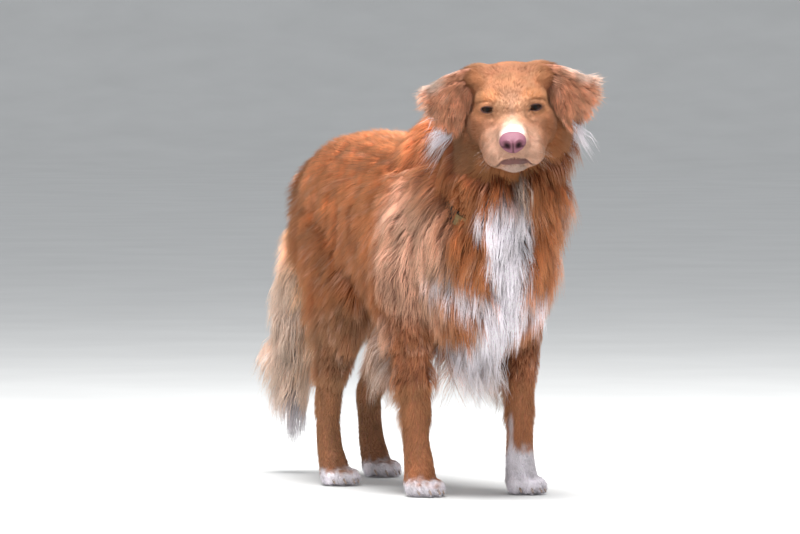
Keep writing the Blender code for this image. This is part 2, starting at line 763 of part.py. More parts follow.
def main():
    clear_scene()
    parts = new_collection("tolling_retriever")
    helpers = new_collection("cutters", hidden=True)
    red = material("coat_red", COAT_RED, 0.75)
    pale = material("coat_pale", COAT_PALE, 0.8)
    white = material("coat_white", COAT_WHITE, 0.8)
    flesh = whole_flesh(helpers)
    pieces = part_flesh(flesh, parts, helpers)
    pieces["tail"] = tail(pieces["trunk"], parts, helpers)
    seats = [pieces["head"], pieces["neck_upper"]]
    for side in SIDES:
        pieces[f"ear_{side}"] = ear(side, seats, parts, helpers)
    for name, piece in pieces.items():
        finish(piece, white if "paw" in name else pale if name == "tail" else red)
    for side in SIDES:
        finish(eye(side, pieces["head"], parts, helpers), material(f"eye_{side}", EYE_BROWN, 0.08))
    finish(nose(pieces["head"], parts, helpers), material("nose_leather", NOSE_PINK, 0.4))
    horn = material("claw_horn", CLAW_HORN, 0.35)
    for side in SIDES:
        for limb, places in (("front", FRONT_PAW), ("hind", HIND_PAW)):
            paw = pieces[f"{limb}_paw_{side}"]
            for claw in claws(f"{limb}_{side}", places[side], paw, parts, helpers):
                finish(claw, horn)
    necks = [pieces["neck_upper"], pieces["neck_lower"]]
    band, buckle = collar(necks, parts, helpers)
    finish(band, material("collar_web", WEB_BLACK, 0.7))
    finish(buckle, material("brass", BRASS, 0.3, 1.0))
    for helper in list(helpers.objects):
        bpy.data.objects.remove(helper, do_unlink=True)
    centre_on_origin(parts)


main()
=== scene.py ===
"""The finished standing tolling retriever: skin, coat, eyes, nose, claws and collar, built
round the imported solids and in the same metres.

The skin is rings of named sizes joined into one closed surface that lies the coat's depth
inside the solids.  Tufts of hair are rooted all over it and lie along it.  Places are written
in the dog's own frame and moved by HOME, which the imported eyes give, when a mesh is made.
"""
import math

import bmesh
import bpy
import numpy as np
from mathutils import Matrix, Vector


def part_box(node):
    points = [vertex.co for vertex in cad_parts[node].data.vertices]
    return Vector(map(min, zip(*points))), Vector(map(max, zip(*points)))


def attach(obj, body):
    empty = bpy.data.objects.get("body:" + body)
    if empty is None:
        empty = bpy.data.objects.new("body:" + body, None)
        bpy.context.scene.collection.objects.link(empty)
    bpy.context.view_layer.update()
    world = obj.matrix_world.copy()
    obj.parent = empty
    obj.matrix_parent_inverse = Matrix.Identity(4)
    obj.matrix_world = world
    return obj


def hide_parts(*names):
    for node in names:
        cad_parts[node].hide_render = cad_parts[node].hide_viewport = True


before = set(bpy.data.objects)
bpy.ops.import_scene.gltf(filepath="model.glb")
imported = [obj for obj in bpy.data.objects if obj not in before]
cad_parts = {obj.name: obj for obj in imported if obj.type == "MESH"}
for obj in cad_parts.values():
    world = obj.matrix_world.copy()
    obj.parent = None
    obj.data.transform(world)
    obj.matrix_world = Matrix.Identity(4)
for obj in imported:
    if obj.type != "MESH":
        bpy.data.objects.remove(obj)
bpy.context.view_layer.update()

# ------------------------------------------------------------------ the dog's own frame
SIDES = {"right": -1, "left": 1}
FACE_CENTRE = np.array((-0.02, -0.358, 0.5535))
EYE_SEAT = (0.0335, -0.0105, 0.0)
EYE_RADIUS = 0.0115
LID_BALL = EYE_RADIUS + 0.001
# the eye's opening: half width, height above and below its middle, rise over run outward
EYE_HALF, EYE_OPEN, EYE_SLANT = 0.0088, (0.0043, 0.0046), 0.1
HEAD_TURN = np.array(
    Matrix.Rotation(math.radians(-27), 3, "Z")
    @ Matrix.Rotation(math.radians(10), 3, "X")
    @ Matrix.Rotation(math.radians(-3), 3, "Y")
)
FRONT_PAW = {"right": (-0.076, -0.19), "left": (0.076, -0.212)}
HIND_PAW = {"right": (-0.076, 0.08), "left": (0.066, 0.226)}
HIND_LEAN = {
    "right": (0.083, 0.055, -0.002, -0.026, -0.02, -0.002, 0.016, 0.026, 0.028, 0.022, 0.008),
    "left": (-0.05, -0.036, -0.036, -0.031, -0.021, -0.001, 0.019, 0.029, 0.028, 0.022, 0.008),
}
TOES = ((-0.0195, -0.012), (-0.0072, -0.024), (0.0072, -0.024), (0.0195, -0.012))
SKIN_VOXEL = 0.0034
COAT_LOW, COAT_HIGH = (-0.144, -0.44, 0.0003), (0.144, 0.44, 0.65)


def in_head(points):
    """Points (across, forward, up) from the midpoint of the eyes, as points of the dog."""
    points = np.asarray(points, float) * (1, -1, 1)
    return FACE_CENTRE + points @ HEAD_TURN.T


def of_head(points):
    """The other way: points of the dog as (across, forward, up) of its head."""
    return (np.asarray(points) - FACE_CENTRE) @ HEAD_TURN * (1, -1, 1)


def eye_middle():
    boxes = [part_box(f"eye_{side}") for side in SIDES]
    return sum((np.array(low) + np.array(high)) / 2 for low, high in boxes) / 2


HOME = eye_middle() - in_head((0, EYE_SEAT[1], 0))
HOME[2] = 0


# ------------------------------------------------------------------ numbers over arrays
def unit(vectors):
    return vectors / np.maximum(np.linalg.norm(vectors, axis=-1, keepdims=True), 1e-9)


def ease(low, high, x):
    t = np.clip((x - low) / (high - low), 0, 1)
    return t * t * (3 - 2 * t)


def blob(points, centre, radii, edge=0.5):
    """1 inside an ellipsoid, falling to 0 over `edge` of its radius outside it."""
    d = np.linalg.norm((points - np.array(centre)) / np.array(radii), axis=-1)
    return 1 - ease(1, 1 + edge, d)


def ripple(points, size, seed):
    """Smooth noise from -1 to 1: the mean of nine sine waves of random heading."""
    rng = np.random.default_rng(seed)
    heading = unit(rng.normal(size=(9, 3))) * rng.uniform(0.6, 1.5, (9, 1)) * 2 * np.pi / size
    phase = rng.uniform(0, 2 * np.pi, 9)
    return np.sin(points @ heading.T + phase).mean(axis=1) * 2.2


def mixed(a, b, share):
    return a + (np.asarray(b) - a) * share[:, None]


def smooth_rows(stations, steps):
    """Catmull-Rom curve through rows of numbers: between two rows, half the sum of their
    cubic blend and the neighbours' slopes."""
    rows = np.array(stations, float)
    ends = np.vstack([2 * rows[0] - rows[1], rows, 2 * rows[-1] - rows[-2]])
    t = (np.arange(steps) / steps)[None, :, None]
    before, a, b, after = (ends[i : len(ends) - 3 + i, None, :] for i in range(4))
    curve = 0.5 * (
        2 * a
        + (b - before) * t
        + (2 * before - 5 * a + 4 * b - after) * t**2
        + (3 * a - before - 3 * b + after) * t**3
    )
    return np.vstack([curve.reshape(-1, rows.shape[1]), rows[-1:]])


def ring_faces(rings, sides):
    """Quads between neighbouring rings, and one face over each end."""
    i = np.arange(rings - 1)[:, None] * sides
    j = np.arange(sides)
    k = (j + 1) % sides
    quads = np.stack([i + j, i + k, i + sides + k, i + sides + j], -1).reshape(-1, 4)
    return quads.tolist() + [j[::-1].tolist(), (j + (rings - 1) * sides).tolist()]


def loft(stations, coat=0.0, squareness=2.2, sides=40, lateral=(1, 0, 0), steps=8):
    """Closed body through stations (x, y, z, half width, above, below), less the coat.

    Each ring is a superellipse square to the path: cos and sin to the power 2 / squareness,
    times the half width along `lateral` and times above or below along path x lateral.
    """
    stations = np.array(stations, float)
    stations[:, 3:] = np.maximum(stations[:, 3:] - coat, 0.002)
    rows = smooth_rows(stations, steps)
    centres = rows[:, :3]
    tangents = unit(np.gradient(centres, axis=0))
    side = np.array(lateral, float)
    side = unit(side - (tangents @ side)[:, None] * tangents)
    rise = np.cross(tangents, side)
    angle = np.linspace(0, 2 * np.pi, sides, endpoint=False)
    wide = np.sign(np.cos(angle)) * np.abs(np.cos(angle)) ** (2 / squareness)
    tall = np.sign(np.sin(angle)) * np.abs(np.sin(angle)) ** (2 / squareness)
    size = np.maximum(rows[:, 3:], 0.001)
    reach = np.where(tall > 0, size[:, 1:2], size[:, 2:3]) * tall
    points = centres[:, None] + (size[:, :1] * wide)[..., None] * side[:, None]
    points = points + reach[..., None] * rise[:, None]
    return points.reshape(-1, 3), ring_faces(len(rows), sides)


def ball(centre, radii, turned=False):
    """Ellipsoid: rings of cos(latitude) by sin(latitude), each radius along its own axis."""
    latitude = np.radians(np.linspace(-88, 88, 25))[:, None]
    around = np.linspace(0, 2 * np.pi, 32, endpoint=False)
    flat = np.cos(latitude)
    points = np.stack([flat * np.cos(around), flat * np.sin(around), np.sin(latitude) + 0 * around], -1)
    points = points.reshape(-1, 3) * np.array(radii) + np.array(centre)
    return in_head(points) if turned else points, ring_faces(25, 32)


# ------------------------------------------------------------------ meshes
def linked(obj):
    bpy.context.scene.collection.objects.link(obj)
    return obj


def mesh_piece(name, points, faces, smooth=True):
    """An object holding these points, moved HOME, and these faces."""
    mesh = bpy.data.meshes.new(name)
    points = np.asarray(points) + HOME
    mesh.from_pydata(points.tolist(), [], faces)
    mesh.polygons.foreach_set("use_smooth", np.full(len(mesh.polygons), smooth))
    mesh.update()
    return linked(bpy.data.objects.new(name, mesh))


def merged_shells(name, shells):
    """One object of many closed shells, overlapping as they are."""
    points, faces, count = [], [], 0
    for shell_points, shell_faces in shells:
        points.append(shell_points)
        faces += [[i + count for i in face] for face in shell_faces]
        count += len(shell_points)
    return mesh_piece(name, np.concatenate(points), faces)


def applied(obj):
    """The object with its modifiers turned into its mesh."""
    bpy.context.view_layer.update()
    graph = bpy.context.evaluated_depsgraph_get()
    mesh = bpy.data.meshes.new_from_object(obj.evaluated_get(graph))
    obj.modifiers.clear()
    obj.data = mesh
    return obj


def read_points(mesh):
    co = np.empty(len(mesh.vertices) * 3, np.float32)
    mesh.vertices.foreach_get("co", co)
    return co.reshape(-1, 3).astype(float) - HOME


def write_points(mesh, points):
    mesh.vertices.foreach_set("co", (points + HOME).astype(np.float32).ravel())
    mesh.update()


def read_normals(mesh):
    normals = np.empty(len(mesh.vertices) * 3, np.float32)
    mesh.vertex_normals.foreach_get("vector", normals)
    return normals.reshape(-1, 3).astype(float)


def read_triangles(mesh):
    mesh.calc_loop_triangles()
    triangles = np.empty(len(mesh.loop_triangles) * 3, np.int32)
    mesh.loop_triangles.foreach_get("vertices", triangles)
    return triangles.reshape(-1, 3)


def point_colour(mesh, name, colours):
    layer = mesh.attributes.new(name, "FLOAT_COLOR", "POINT")
    full = np.concatenate([colours, np.ones((len(colours), 1))], axis=1)
    layer.data.foreach_set("color", full.astype(np.float32).ravel())


def point_value(mesh, name, values):
    layer = mesh.attributes.new(name, "FLOAT", "POINT")
    layer.data.foreach_set("value", np.asarray(values, np.float32))


# ------------------------------------------------------------------ the skin's shells
def trunk_shells():
    """Rump to breast: top, bottom and half width at each length of the body."""
    # y, top, bottom, half width, x, coat
    profile = [
        (0.258, 0.43, 0.345, 0.024, 0, 0.01),
        (0.25, 0.458, 0.322, 0.048, 0, 0.012),
        (0.225, 0.49, 0.296, 0.072, 0, 0.014),
        (0.17, 0.509, 0.284, 0.091, 0, 0.014),
        (0.11, 0.519, 0.28, 0.103, 0, 0.013),
        (0.04, 0.518, 0.276, 0.109, 0, 0.013),
        (-0.03, 0.514, 0.256, 0.117, 0, 0.014),
        (-0.1, 0.514, 0.23, 0.119, 0, 0.015),
        (-0.16, 0.514, 0.21, 0.117, 0.002, 0.017),
        (-0.215, 0.492, 0.205, 0.113, 0.004, 0.022),
        (-0.255, 0.46, 0.215, 0.1, 0.006, 0.026),
        (-0.28, 0.43, 0.245, 0.072, 0.006, 0.026),
        (-0.292, 0.395, 0.285, 0.038, 0.006, 0.02),
    ]
    y, top, low, wide, x, coat = np.array(profile).T
    half = (top - low) / 2
    rows = np.stack([x, y, (top + low) / 2, wide, half, half], -1)
    return [loft(rows, coat[:, None], 2.25, 56), ball((0.004, -0.245, 0.325), (0.052, 0.042, 0.08))]


def neck_shells():
    """The throat under the ruff, and the arched nape."""
    throat = [
        (0.012, -0.292, 0.54, 0.07, 0.05, 0.04),
        (0.01, -0.292, 0.505, 0.092, 0.072, 0.066),
        (0.008, -0.288, 0.465, 0.104, 0.084, 0.078),
        (0.007, -0.274, 0.41, 0.103, 0.098, 0.078),
        (0.004, -0.252, 0.355, 0.103, 0.104, 0.074),
        (0.004, -0.23, 0.31, 0.096, 0.09, 0.068),
    ]
    nape = [
        (0.022, -0.268, 0.552, 0.052, 0.04, 0.04),
        (0.014, -0.228, 0.52, 0.07, 0.055, 0.06),
        (0.006, -0.18, 0.484, 0.086, 0.06, 0.08),
        (0.002, -0.12, 0.45, 0.096, 0.07, 0.08),
    ]
    thick = np.array((0.018, 0.028, 0.032, 0.033, 0.033, 0.03))[:, None]
    return [loft(throat, thick, 2.3), loft(nape, np.array((0.012, 0.016, 0.018, 0.018))[:, None])]


def head_shells():
    """Cranium, brows, cheeks and the muzzle with its flews and chin."""
    lumps = [
        (0, -0.066, 0, 0.063, 0.07, 0.055, 0.003),
        (0, -0.036, 0.009, 0.054, 0.042, 0.041, 0.003),
        (0, -0.045, -0.045, 0.058, 0.055, 0.046, 0.01),
        (0, -0.004, 0.002, 0.028, 0.022, 0.02, 0.003),
        (0, 0.048, -0.068, 0.022, 0.034, 0.014, 0.0025),
    ]
    for sign in (-1, 1):
        lumps += [
            (sign * 0.036, -0.026, -0.026, 0.027, 0.04, 0.036, 0.004),
            (sign * 0.027, -0.015, 0.014, 0.028, 0.019, 0.018, 0.0042),
            (sign * 0.026, 0.016, -0.044, 0.026, 0.04, 0.03, 0.005),
            (sign * 0.0225, 0.052, -0.053, 0.0245, 0.034, 0.022, 0.003),
            (sign * 0.038, -0.056, 0.032, 0.034, 0.038, 0.024, 0.004),
            (sign * 0.048, -0.062, -0.048, 0.034, 0.05, 0.056, 0.01),
        ]
    shells = [ball(n[:3], np.array(n[3:6]) - n[6], turned=True) for n in lumps]
    # forward, top, bottom, half width of the bridge and muzzle
    bridge = [
        (-0.03, 0.004, -0.07, 0.038),
        (-0.005, 0.002, -0.072, 0.033),
        (0.02, -0.006, -0.072, 0.029),
        (0.045, -0.011, -0.072, 0.027),
        (0.068, -0.014, -0.07, 0.026),
        (0.082, -0.018, -0.064, 0.023),
        (0.089, -0.026, -0.054, 0.014),
    ]
    rows = [
        (*in_head((0, forward, (top + low) / 2)), wide, (top - low) / 2, (top - low) / 2)
        for forward, top, low, wide in bridge
    ]
    return shells + [loft(rows, 0.0025, 2.5, lateral=HEAD_TURN[:, 0])]


def paw_shells(paw, scale):
    """Four toes and a heel pad round the paw's middle."""
    x, y = paw
    shells = [ball((x, y + 0.006, 0.0185), (0.0212, 0.025, 0.0187))]
    for across, ahead in TOES:
        radii = np.array((0.009, 0.0175, 0.0125)) * scale
        shells.append(ball((x + across, y + ahead, 0.0125), radii))
    return shells


def leg_shells(side):
    """Forearm, thigh, shank and the paws of one side."""
    sign = SIDES[side]
    x, y = FRONT_PAW[side]
    forearm = [
        (sign * 0.06, y + 0.036, 0.44, 0.03, 0.05, 0.06),
        (sign * 0.074, y + 0.032, 0.395, 0.042, 0.064, 0.07),
        (sign * 0.083, y + 0.028, 0.34, 0.044, 0.066, 0.072),
        (sign * 0.086, y + 0.024, 0.285, 0.04, 0.056, 0.066),
        (sign * 0.083, y + 0.018, 0.235, 0.032, 0.042, 0.052),
        (sign * 0.081, y + 0.016, 0.19, 0.028, 0.033, 0.041),
        (sign * 0.078, y + 0.014, 0.145, 0.0225, 0.027, 0.031),
        (sign * 0.078, y + 0.012, 0.115, 0.022, 0.026, 0.028),
        (sign * 0.078, y + 0.012, 0.08, 0.02, 0.023, 0.025),
        (x, y + 0.008, 0.05, 0.0215, 0.025, 0.026),
        (x, y + 0.004, 0.022, 0.024, 0.028, 0.026),
    ]
    front_coat = np.array(
        [(0.014, 0.014, 0.014)] * 3
        + [(0.012, 0.011, 0.014), (0.009, 0.008, 0.013), (0.007, 0.006, 0.012)]
        + [(0.0045, 0.004, 0.008), (0.004, 0.004, 0.006), (0.0035, 0.0035, 0.004)]
        + [(0.003, 0.003, 0.003), (0.003, 0.003, 0.003)]
    )
    # x, height, half width, before, behind
    shank = [
        (0.05, 0.41, 0.04, 0.064, 0.062),
        (0.066, 0.375, 0.043, 0.076, 0.066),
        (0.076, 0.32, 0.043, 0.08, 0.078),
        (0.08, 0.275, 0.039, 0.074, 0.074),
        (0.08, 0.235, 0.034, 0.06, 0.062),
        (0.079, 0.19, 0.027, 0.041, 0.043),
        (0.078, 0.155, 0.0215, 0.028, 0.029),
        (HIND_PAW[side][0] * sign, 0.125, 0.0205, 0.026, 0.028),
        (HIND_PAW[side][0] * sign, 0.095, 0.0185, 0.022, 0.024),
        (HIND_PAW[side][0] * sign, 0.055, 0.0195, 0.023, 0.024),
        (HIND_PAW[side][0] * sign, 0.022, 0.0225, 0.026, 0.024),
    ]
    shank = [
        (sign * across, HIND_PAW[side][1] + lean, height, wide, before, behind)
        for (across, height, wide, before, behind), lean in zip(shank, HIND_LEAN[side])
    ]
    hind_coat = np.array(
        [(0.013, 0.014, 0.018)] * 3
        + [(0.011, 0.012, 0.024), (0.01, 0.01, 0.024), (0.007, 0.007, 0.014)]
        + [(0.0045, 0.0045, 0.006), (0.004, 0.004, 0.005), (0.0035, 0.0035, 0.0035)]
        + [(0.003, 0.003, 0.003), (0.003, 0.003, 0.003)]
    )
    shells = [loft(forearm, front_coat), loft(shank, hind_coat)]
    return shells + paw_shells(FRONT_PAW[side], 1.0) + paw_shells(HIND_PAW[side], 0.97)


# x, y, z, thickness
TAIL_LINE = [
    (*place, thick, thick, thick)
    for *place, thick in (
        (0, 0.205, 0.44, 0.018),
        (-0.002, 0.247, 0.425, 0.015),
        (-0.006, 0.274, 0.385, 0.013),
        (-0.01, 0.303, 0.335, 0.012),
        (-0.012, 0.325, 0.275, 0.011),
        (-0.012, 0.338, 0.212, 0.01),
        (-0.012, 0.347, 0.155, 0.008),
        (-0.012, 0.354, 0.105, 0.006),
    )
]


def ear_sheet(side, u, v):
    """The ear's middle sheet: front and back edges are parabolas from the skull to the tip,
    joined straight across and arched forward and up by 4u(1 - u)(1 - v)."""
    sign = SIDES[side]
    peak, inner = np.array((0.046, -0.045, 0.052)), np.array((0.053, -0.028, 0.002))
    corner, bulge = np.array((0.116, -0.066, 0.018)), np.array((0.122, -0.056, -0.016))
    tip = np.array((0.078, -0.038, -0.034))
    u, v = u[..., None], v[..., None]
    front = (1 - v) ** 2 * peak + 2 * v * (1 - v) * inner + v**2 * tip
    back = (1 - v) ** 2 * corner + 2 * v * (1 - v) * bulge + v**2 * tip
    sheet = (1 - u) * front + u * back + 4 * u * (1 - u) * (1 - v) * np.array((0.004, 0.01, 0.01))
    sheet = sheet + np.array((0, 0.006, 0)) * np.sin(np.pi * u) * np.sin(np.pi * v)
    return sheet * (sign, 1, 1)


def ear_flap(side):
    """A closed leaf: rings run down the front of the ear sheet and back up behind it, 1.6 mm
    each way from the sheet and drawn in to nothing at the rim."""
    down, across = 34, 26
    v = np.linspace(0.0, 0.985, down)[:, None]
    turn = np.linspace(0, 2 * np.pi, 2 * across, endpoint=False)[None, :]
    u = 0.5 - 0.5 * np.cos(turn) + 0 * v
    lift = np.sin(turn) * 0.0016 * (1 - 0.3 * v) + 0 * u
    points = ear_sheet(side, u, v + 0 * u) + lift[..., None] * np.array((0, 1, 0.15))
    faces = ring_faces(down, 2 * across)
    if side == "right":
        faces = [face[::-1] for face in faces]
    return in_head(points.reshape(-1, 3)), faces


# ------------------------------------------------------------------ colours of the coat
def srgb(red, green, blue):
    c = np.array((red, green, blue)) / 255
    return np.where(c <= 0.04045, c / 12.92, ((c + 0.055) / 1.055) ** 2.4)


RED = srgb(218, 128, 76)
BACK_RED_AND_TOP_LIGHT = srgb(240, 147, 95)
# A deep red used as painted shade over the body and head; on the rump it is partly the coat's own deeper
# red.
PAINTED_SHADE_DEEP = srgb(164, 87, 45)
PAINTED_SHADE_RED = srgb(160, 108, 78)
LEG_RED = srgb(176, 108, 72)
GOLD = srgb(168, 110, 86)
TAN = srgb(208, 164, 144)
BUFF = srgb(246, 198, 172)
CREAM = srgb(242, 220, 206)
WHITE = srgb(255, 248, 254)
LIP = srgb(92, 48, 48)
EAR_RED = srgb(238, 160, 124)
EAR_SHADE = srgb(140, 80, 54)
CHIN = srgb(186, 160, 152)
EYE_RING_PAINTED_LIGHT = srgb(200, 132, 92)
BROW_RED = srgb(208, 126, 74)
INNER_EYE_PAINTED_LIGHT = srgb(204, 148, 116)
JOWL_PAINTED_SHADE = srgb(118, 64, 40)
PLUME = srgb(255, 194, 146) * 1.12


class Markings:
    """The colour at each point, painted on marking by marking over the red."""

    def __init__(self, points):
        self.points, self.head = points, of_head(points)
        self.x, self.y, self.z = points.T
        self.side, self.ahead, self.up = self.head.T
        self.away = np.abs(self.side)
        self.mirrored = np.stack([self.away, self.ahead, self.up], -1)
        self.wander, self.fine = ripple(points, 0.045, 3), ripple(points, 0.016, 4)
        self.cover(RED)

    def cover(self, colour):
        self.colour = np.tile(colour, (len(self.points), 1))

    def paint(self, colour, share):
        self.colour = mixed(self.colour, colour, share)

    def body_blob(self, colour, share, centre, radii, edge):
        self.paint(colour, share * blob(self.points, centre, radii, edge))

    def face_blob(self, colour, share, centre, radii, edge):
        """A blob on both sides of the face: (away from the middle, ahead, up)."""
        self.paint(colour, share * blob(self.mirrored, centre, radii, edge))


def mark_trunk(m):
    """Back paler, partly its own colour and partly painted light from above; painted shade, with some of
    the coat's deeper red, on the thighs, flanks, belly and chest; paler shoulders, partly painted
    highlight; and pale fringes at the breast.
    """
    x, y, z, wander = m.x, m.y, m.z, m.wander
    # The back paler: partly the coat's own colour, partly painted light from above.
    m.paint(BACK_RED_AND_TOP_LIGHT, ease(0.42, 0.5, z + 0.012 * wander))
    # Painted shade: the rump and thighs darker, partly the coat's deeper red; the lower flank and belly
    # darker underneath.
    m.body_blob(PAINTED_SHADE_DEEP, 0.95, (0, 0.21, 0.35), (0.14, 0.075, 0.095), 0.6)
    m.paint(PAINTED_SHADE_DEEP, 0.75 * ease(0.45, 0.36, z) * ease(-0.12, -0.06, y))
    m.paint(PAINTED_SHADE_DEEP, 0.5 * ease(0.12, 0.22, y) * ease(0.5, 0.44, z))
    m.paint(PAINTED_SHADE_DEEP, 0.9 * ease(0.35, 0.28, z) * ease(-0.14, -0.08, y) * ease(0.08, 0.03, y))
    # Paler shoulders: partly the coat's paler hair, partly painted highlight.
    m.body_blob(BUFF, 0.7 * ease(-1.0, 0.4, wander), (0, -0.2, 0.385), (0.15, 0.055, 0.075), 0.6)
    # Painted shade on the chest under the ruff, stronger on the right side.
    chest = ease(-0.165, -0.245, y) * ease(0.5, 0.46, z) * ease(0.16, 0.22, z)
    m.paint(PAINTED_SHADE_DEEP, (0.7 - 0.25 * (x > 0)) * chest)
    # Painted shade at the right elbow.
    m.body_blob(PAINTED_SHADE_DEEP, 1.0, (-0.11, -0.142, 0.295), (0.07, 0.055, 0.055), 0.6)
    m.body_blob(BUFF, 0.4, (0.085, -0.3, 0.395), (0.03, 0.03, 0.05), 0.8)
    m.paint(LEG_RED, ease(0.285, 0.215, z) * ease(0.05, 0.0, y))
    # A paler patch on the right shoulder: partly paler hair, partly painted highlight.
    m.body_blob(BUFF, 0.55, (-0.095, -0.215, 0.35), (0.05, 0.05, 0.07), 0.8)
    # Painted shade low on the belly and between the hind legs.
    m.paint(PAINTED_SHADE_RED, 0.8 * ease(0.3, 0.24, z) * ease(0.0, 0.05, y))
    m.paint(PAINTED_SHADE_RED, 0.5 * ease(0.3, 0.25, z) * ease(-0.1, -0.05, y) * ease(0.06, 0.02, y))
    m.body_blob(BUFF, 0.55 * ease(0.0, 0.8, wander), (0, -0.13, 0.235), (0.12, 0.05, 0.05), 0.5)


def mark_bib(m):
    """The white bib: a stripe down the breast to the fringe between the forelegs, with a
    branch out to each side."""
    x, y, z, fine = m.x, m.y, m.z, m.fine
    middle = np.interp(z, (0.13, 0.2, 0.3, 0.38, 0.44), (-0.01, -0.005, -0.002, -0.011, -0.016))
    half = np.interp(
        z,
        (0.13, 0.17, 0.22, 0.26, 0.3, 0.35, 0.39, 0.425, 0.44, 0.455),
        (0.012, 0.024, 0.028, 0.022, 0.017, 0.019, 0.026, 0.028, 0.016, 0.006),
    )
    bib = ease(1.25, 0.85, (np.abs(x - middle) + 0.006 * fine) / half)
    bib = bib * ease(-0.17, -0.2, y) * ease(0.462, 0.432, z + 0.006 * fine) * ease(0.11, 0.14, z)
    m.paint(WHITE, bib)
    # Painted shade at the foot of the bib, between the forelegs.
    m.paint(PAINTED_SHADE_RED, 0.6 * bib * ease(0.25, 0.2, z) * ease(-0.1, 0.8, m.wander + 0.5 * fine))
    start = 0.285
    for reach, end, thick in ((-0.082, 0.334, 0.016), (0.092, 0.318, 0.018)):
        t = np.clip(x / reach, 0, 1.1)
        off = np.abs(z - start - t * (end - start) + 0.008 * fine)
        branch = ease(1.6, 0.5, off / (thick * (1.2 - 0.7 * t))) * (x * reach > 0)
        m.paint(WHITE, 0.9 * branch * ease(1.1, 0.8, t) * ease(-0.17, -0.21, y))


def mark_head(m):
    """Gold over the muzzle, red over the brows, painted shade on the cheeks, jowls and top of the skull,
    painted light round the eyes and on the back of the skull, the pale blaze, lids and lips.
    """
    side, ahead, up, away, fine = m.side, m.ahead, m.up, m.away, m.fine
    on_head = ease(-0.115, -0.095, ahead) * ease(-0.135, -0.105, up)
    left = side > 0
    m.paint(GOLD, on_head * ease(-0.1, -0.04, up))
    # Painted shade on the top of the skull, against the light from above.
    m.paint(PAINTED_SHADE_DEEP, on_head * 0.35 * ease(0.016, 0.034, up) * ease(-0.08, -0.04, ahead))
    # Painted light on the back of the skull, lifted to the back's colour.
    m.paint(BACK_RED_AND_TOP_LIGHT, 0.8 * on_head * ease(-0.045, -0.08, ahead) * ease(-0.04, 0.0, up))
    muzzle = ease(0.01, 0.055, ahead) * ease(0.014, -0.006, up) * ease(0.047, 0.031, away + 0.004 * fine)
    m.paint(TAN, on_head * 0.7 * muzzle)
    # Painted shade on the cheeks, which face down and aside; the left side, turned from the light, darker
    # and further forward.
    painted_cheek_shade = ease(-0.01, -0.05, up) * ease(0.036, 0.004, ahead - 0.016 * left)
    m.paint(PAINTED_SHADE_DEEP, on_head * (0.78 + 0.14 * left) * painted_cheek_shade)
    # Painted shade on the side of the skull in front of the ear.
    m.face_blob(PAINTED_SHADE_DEEP, on_head * 0.5, (0.05, -0.02, 0.02), (0.012, 0.04, 0.04), 0.8)
    m.paint(CHIN, 0.8 * blob(m.head, (0, 0.072, -0.075), (0.015, 0.022, 0.01), 0.5))
    width = np.interp(ahead, (0.0, 0.02, 0.05, 0.08), (0.003, 0.006, 0.0115, 0.0165))
    blaze = ease(1.8, 0.2, (away + 0.004 * fine) / width)
    blaze = blaze * ease(-0.036, -0.02, up) * ease(-0.006, 0.05, ahead)
    m.paint(BUFF, 0.8 * blaze)
    m.paint(CREAM, blaze * ease(0.03, 0.066, ahead))
    m.paint(WHITE, 0.5 * blaze * ease(0.04, 0.07, ahead))
    m.paint(CREAM, 0.8 * blob(m.head, (0.004, -0.002, -0.1), (0.007, 0.03, 0.01), 0.6))
    # Painted light round each eye, lifting the shade under the brow.
    m.face_blob(EYE_RING_PAINTED_LIGHT, on_head * 0.7, (0.034, 0.0, 0.004), (0.016, 0.03, 0.013), 0.7)
    rim = np.linalg.norm((m.mirrored - (0.0335, -0.004, 0)) / (0.0098, 0.02, 0.0056), axis=1)
    m.paint(LIP, 0.85 * ease(1.15, 0.95, rim))
    m.face_blob(BROW_RED, 0.4, (0.027, 0.002, 0.017), (0.01, 0.02, 0.006), 0.8)
    # Painted light at the inner corners of the eyes, against the shade at the stop.
    m.face_blob(INNER_EYE_PAINTED_LIGHT, 0.5, (0.0165, 0.008, -0.003), (0.01, 0.02, 0.013), 0.8)
    # Painted shade under the jaw and behind the ears, and along the edge of the left jowl.
    m.face_blob(JOWL_PAINTED_SHADE, 0.6, (0.06, -0.022, -0.058), (0.016, 0.03, 0.024), 0.6)
    painted_jowl_shade = ease(0.04, 0.049, away) * ease(-0.012, -0.032, up) * ease(0.062, 0.046, ahead)
    m.paint(PAINTED_SHADE_DEEP, on_head * 0.65 * painted_jowl_shade * left)
    near = ahead > 0.0
    if near.any():
        mouth = ease(0.0032, 0.0016, line_distance(m.mirrored[near], LIP_LINE))
        lower = np.hypot(away[near] / 0.02, (up[near] + 0.058 + 0.25 * away[near]) / 0.0056)
        share = np.zeros(len(ahead))
        share[near] = np.maximum(mouth, ease(1.15, 0.85, lower) * ease(0.06, 0.068, ahead[near]))
        m.paint(LIP, 0.9 * share)


def mark_feet(m):
    """White toes, and a sock and a stripe on the left forefoot."""
    toe = ease(0.03, 0.014, m.z + 0.005 * m.fine)
    sock = ease(0.074, 0.056, m.z + 0.006 * m.fine)
    sock = sock * blob(m.points, (0.076, -0.212, 0.03), (0.05, 0.06, 0.09), 0.3)
    stripe = 0.9 * blob(m.points, (0.057, -0.222, 0.085), (0.005, 0.03, 0.034), 0.4)
    m.paint(WHITE, np.maximum(np.maximum(toe, sock), stripe))


def mark_feather(m):
    """Cream wisps, redder between the legs, partly as painted shade there."""
    m.paint(CREAM, (0.5 + 0.35 * np.clip(m.fine, -1, 1)) * np.where(np.abs(m.x) < 0.05, 0.6, 1.0))


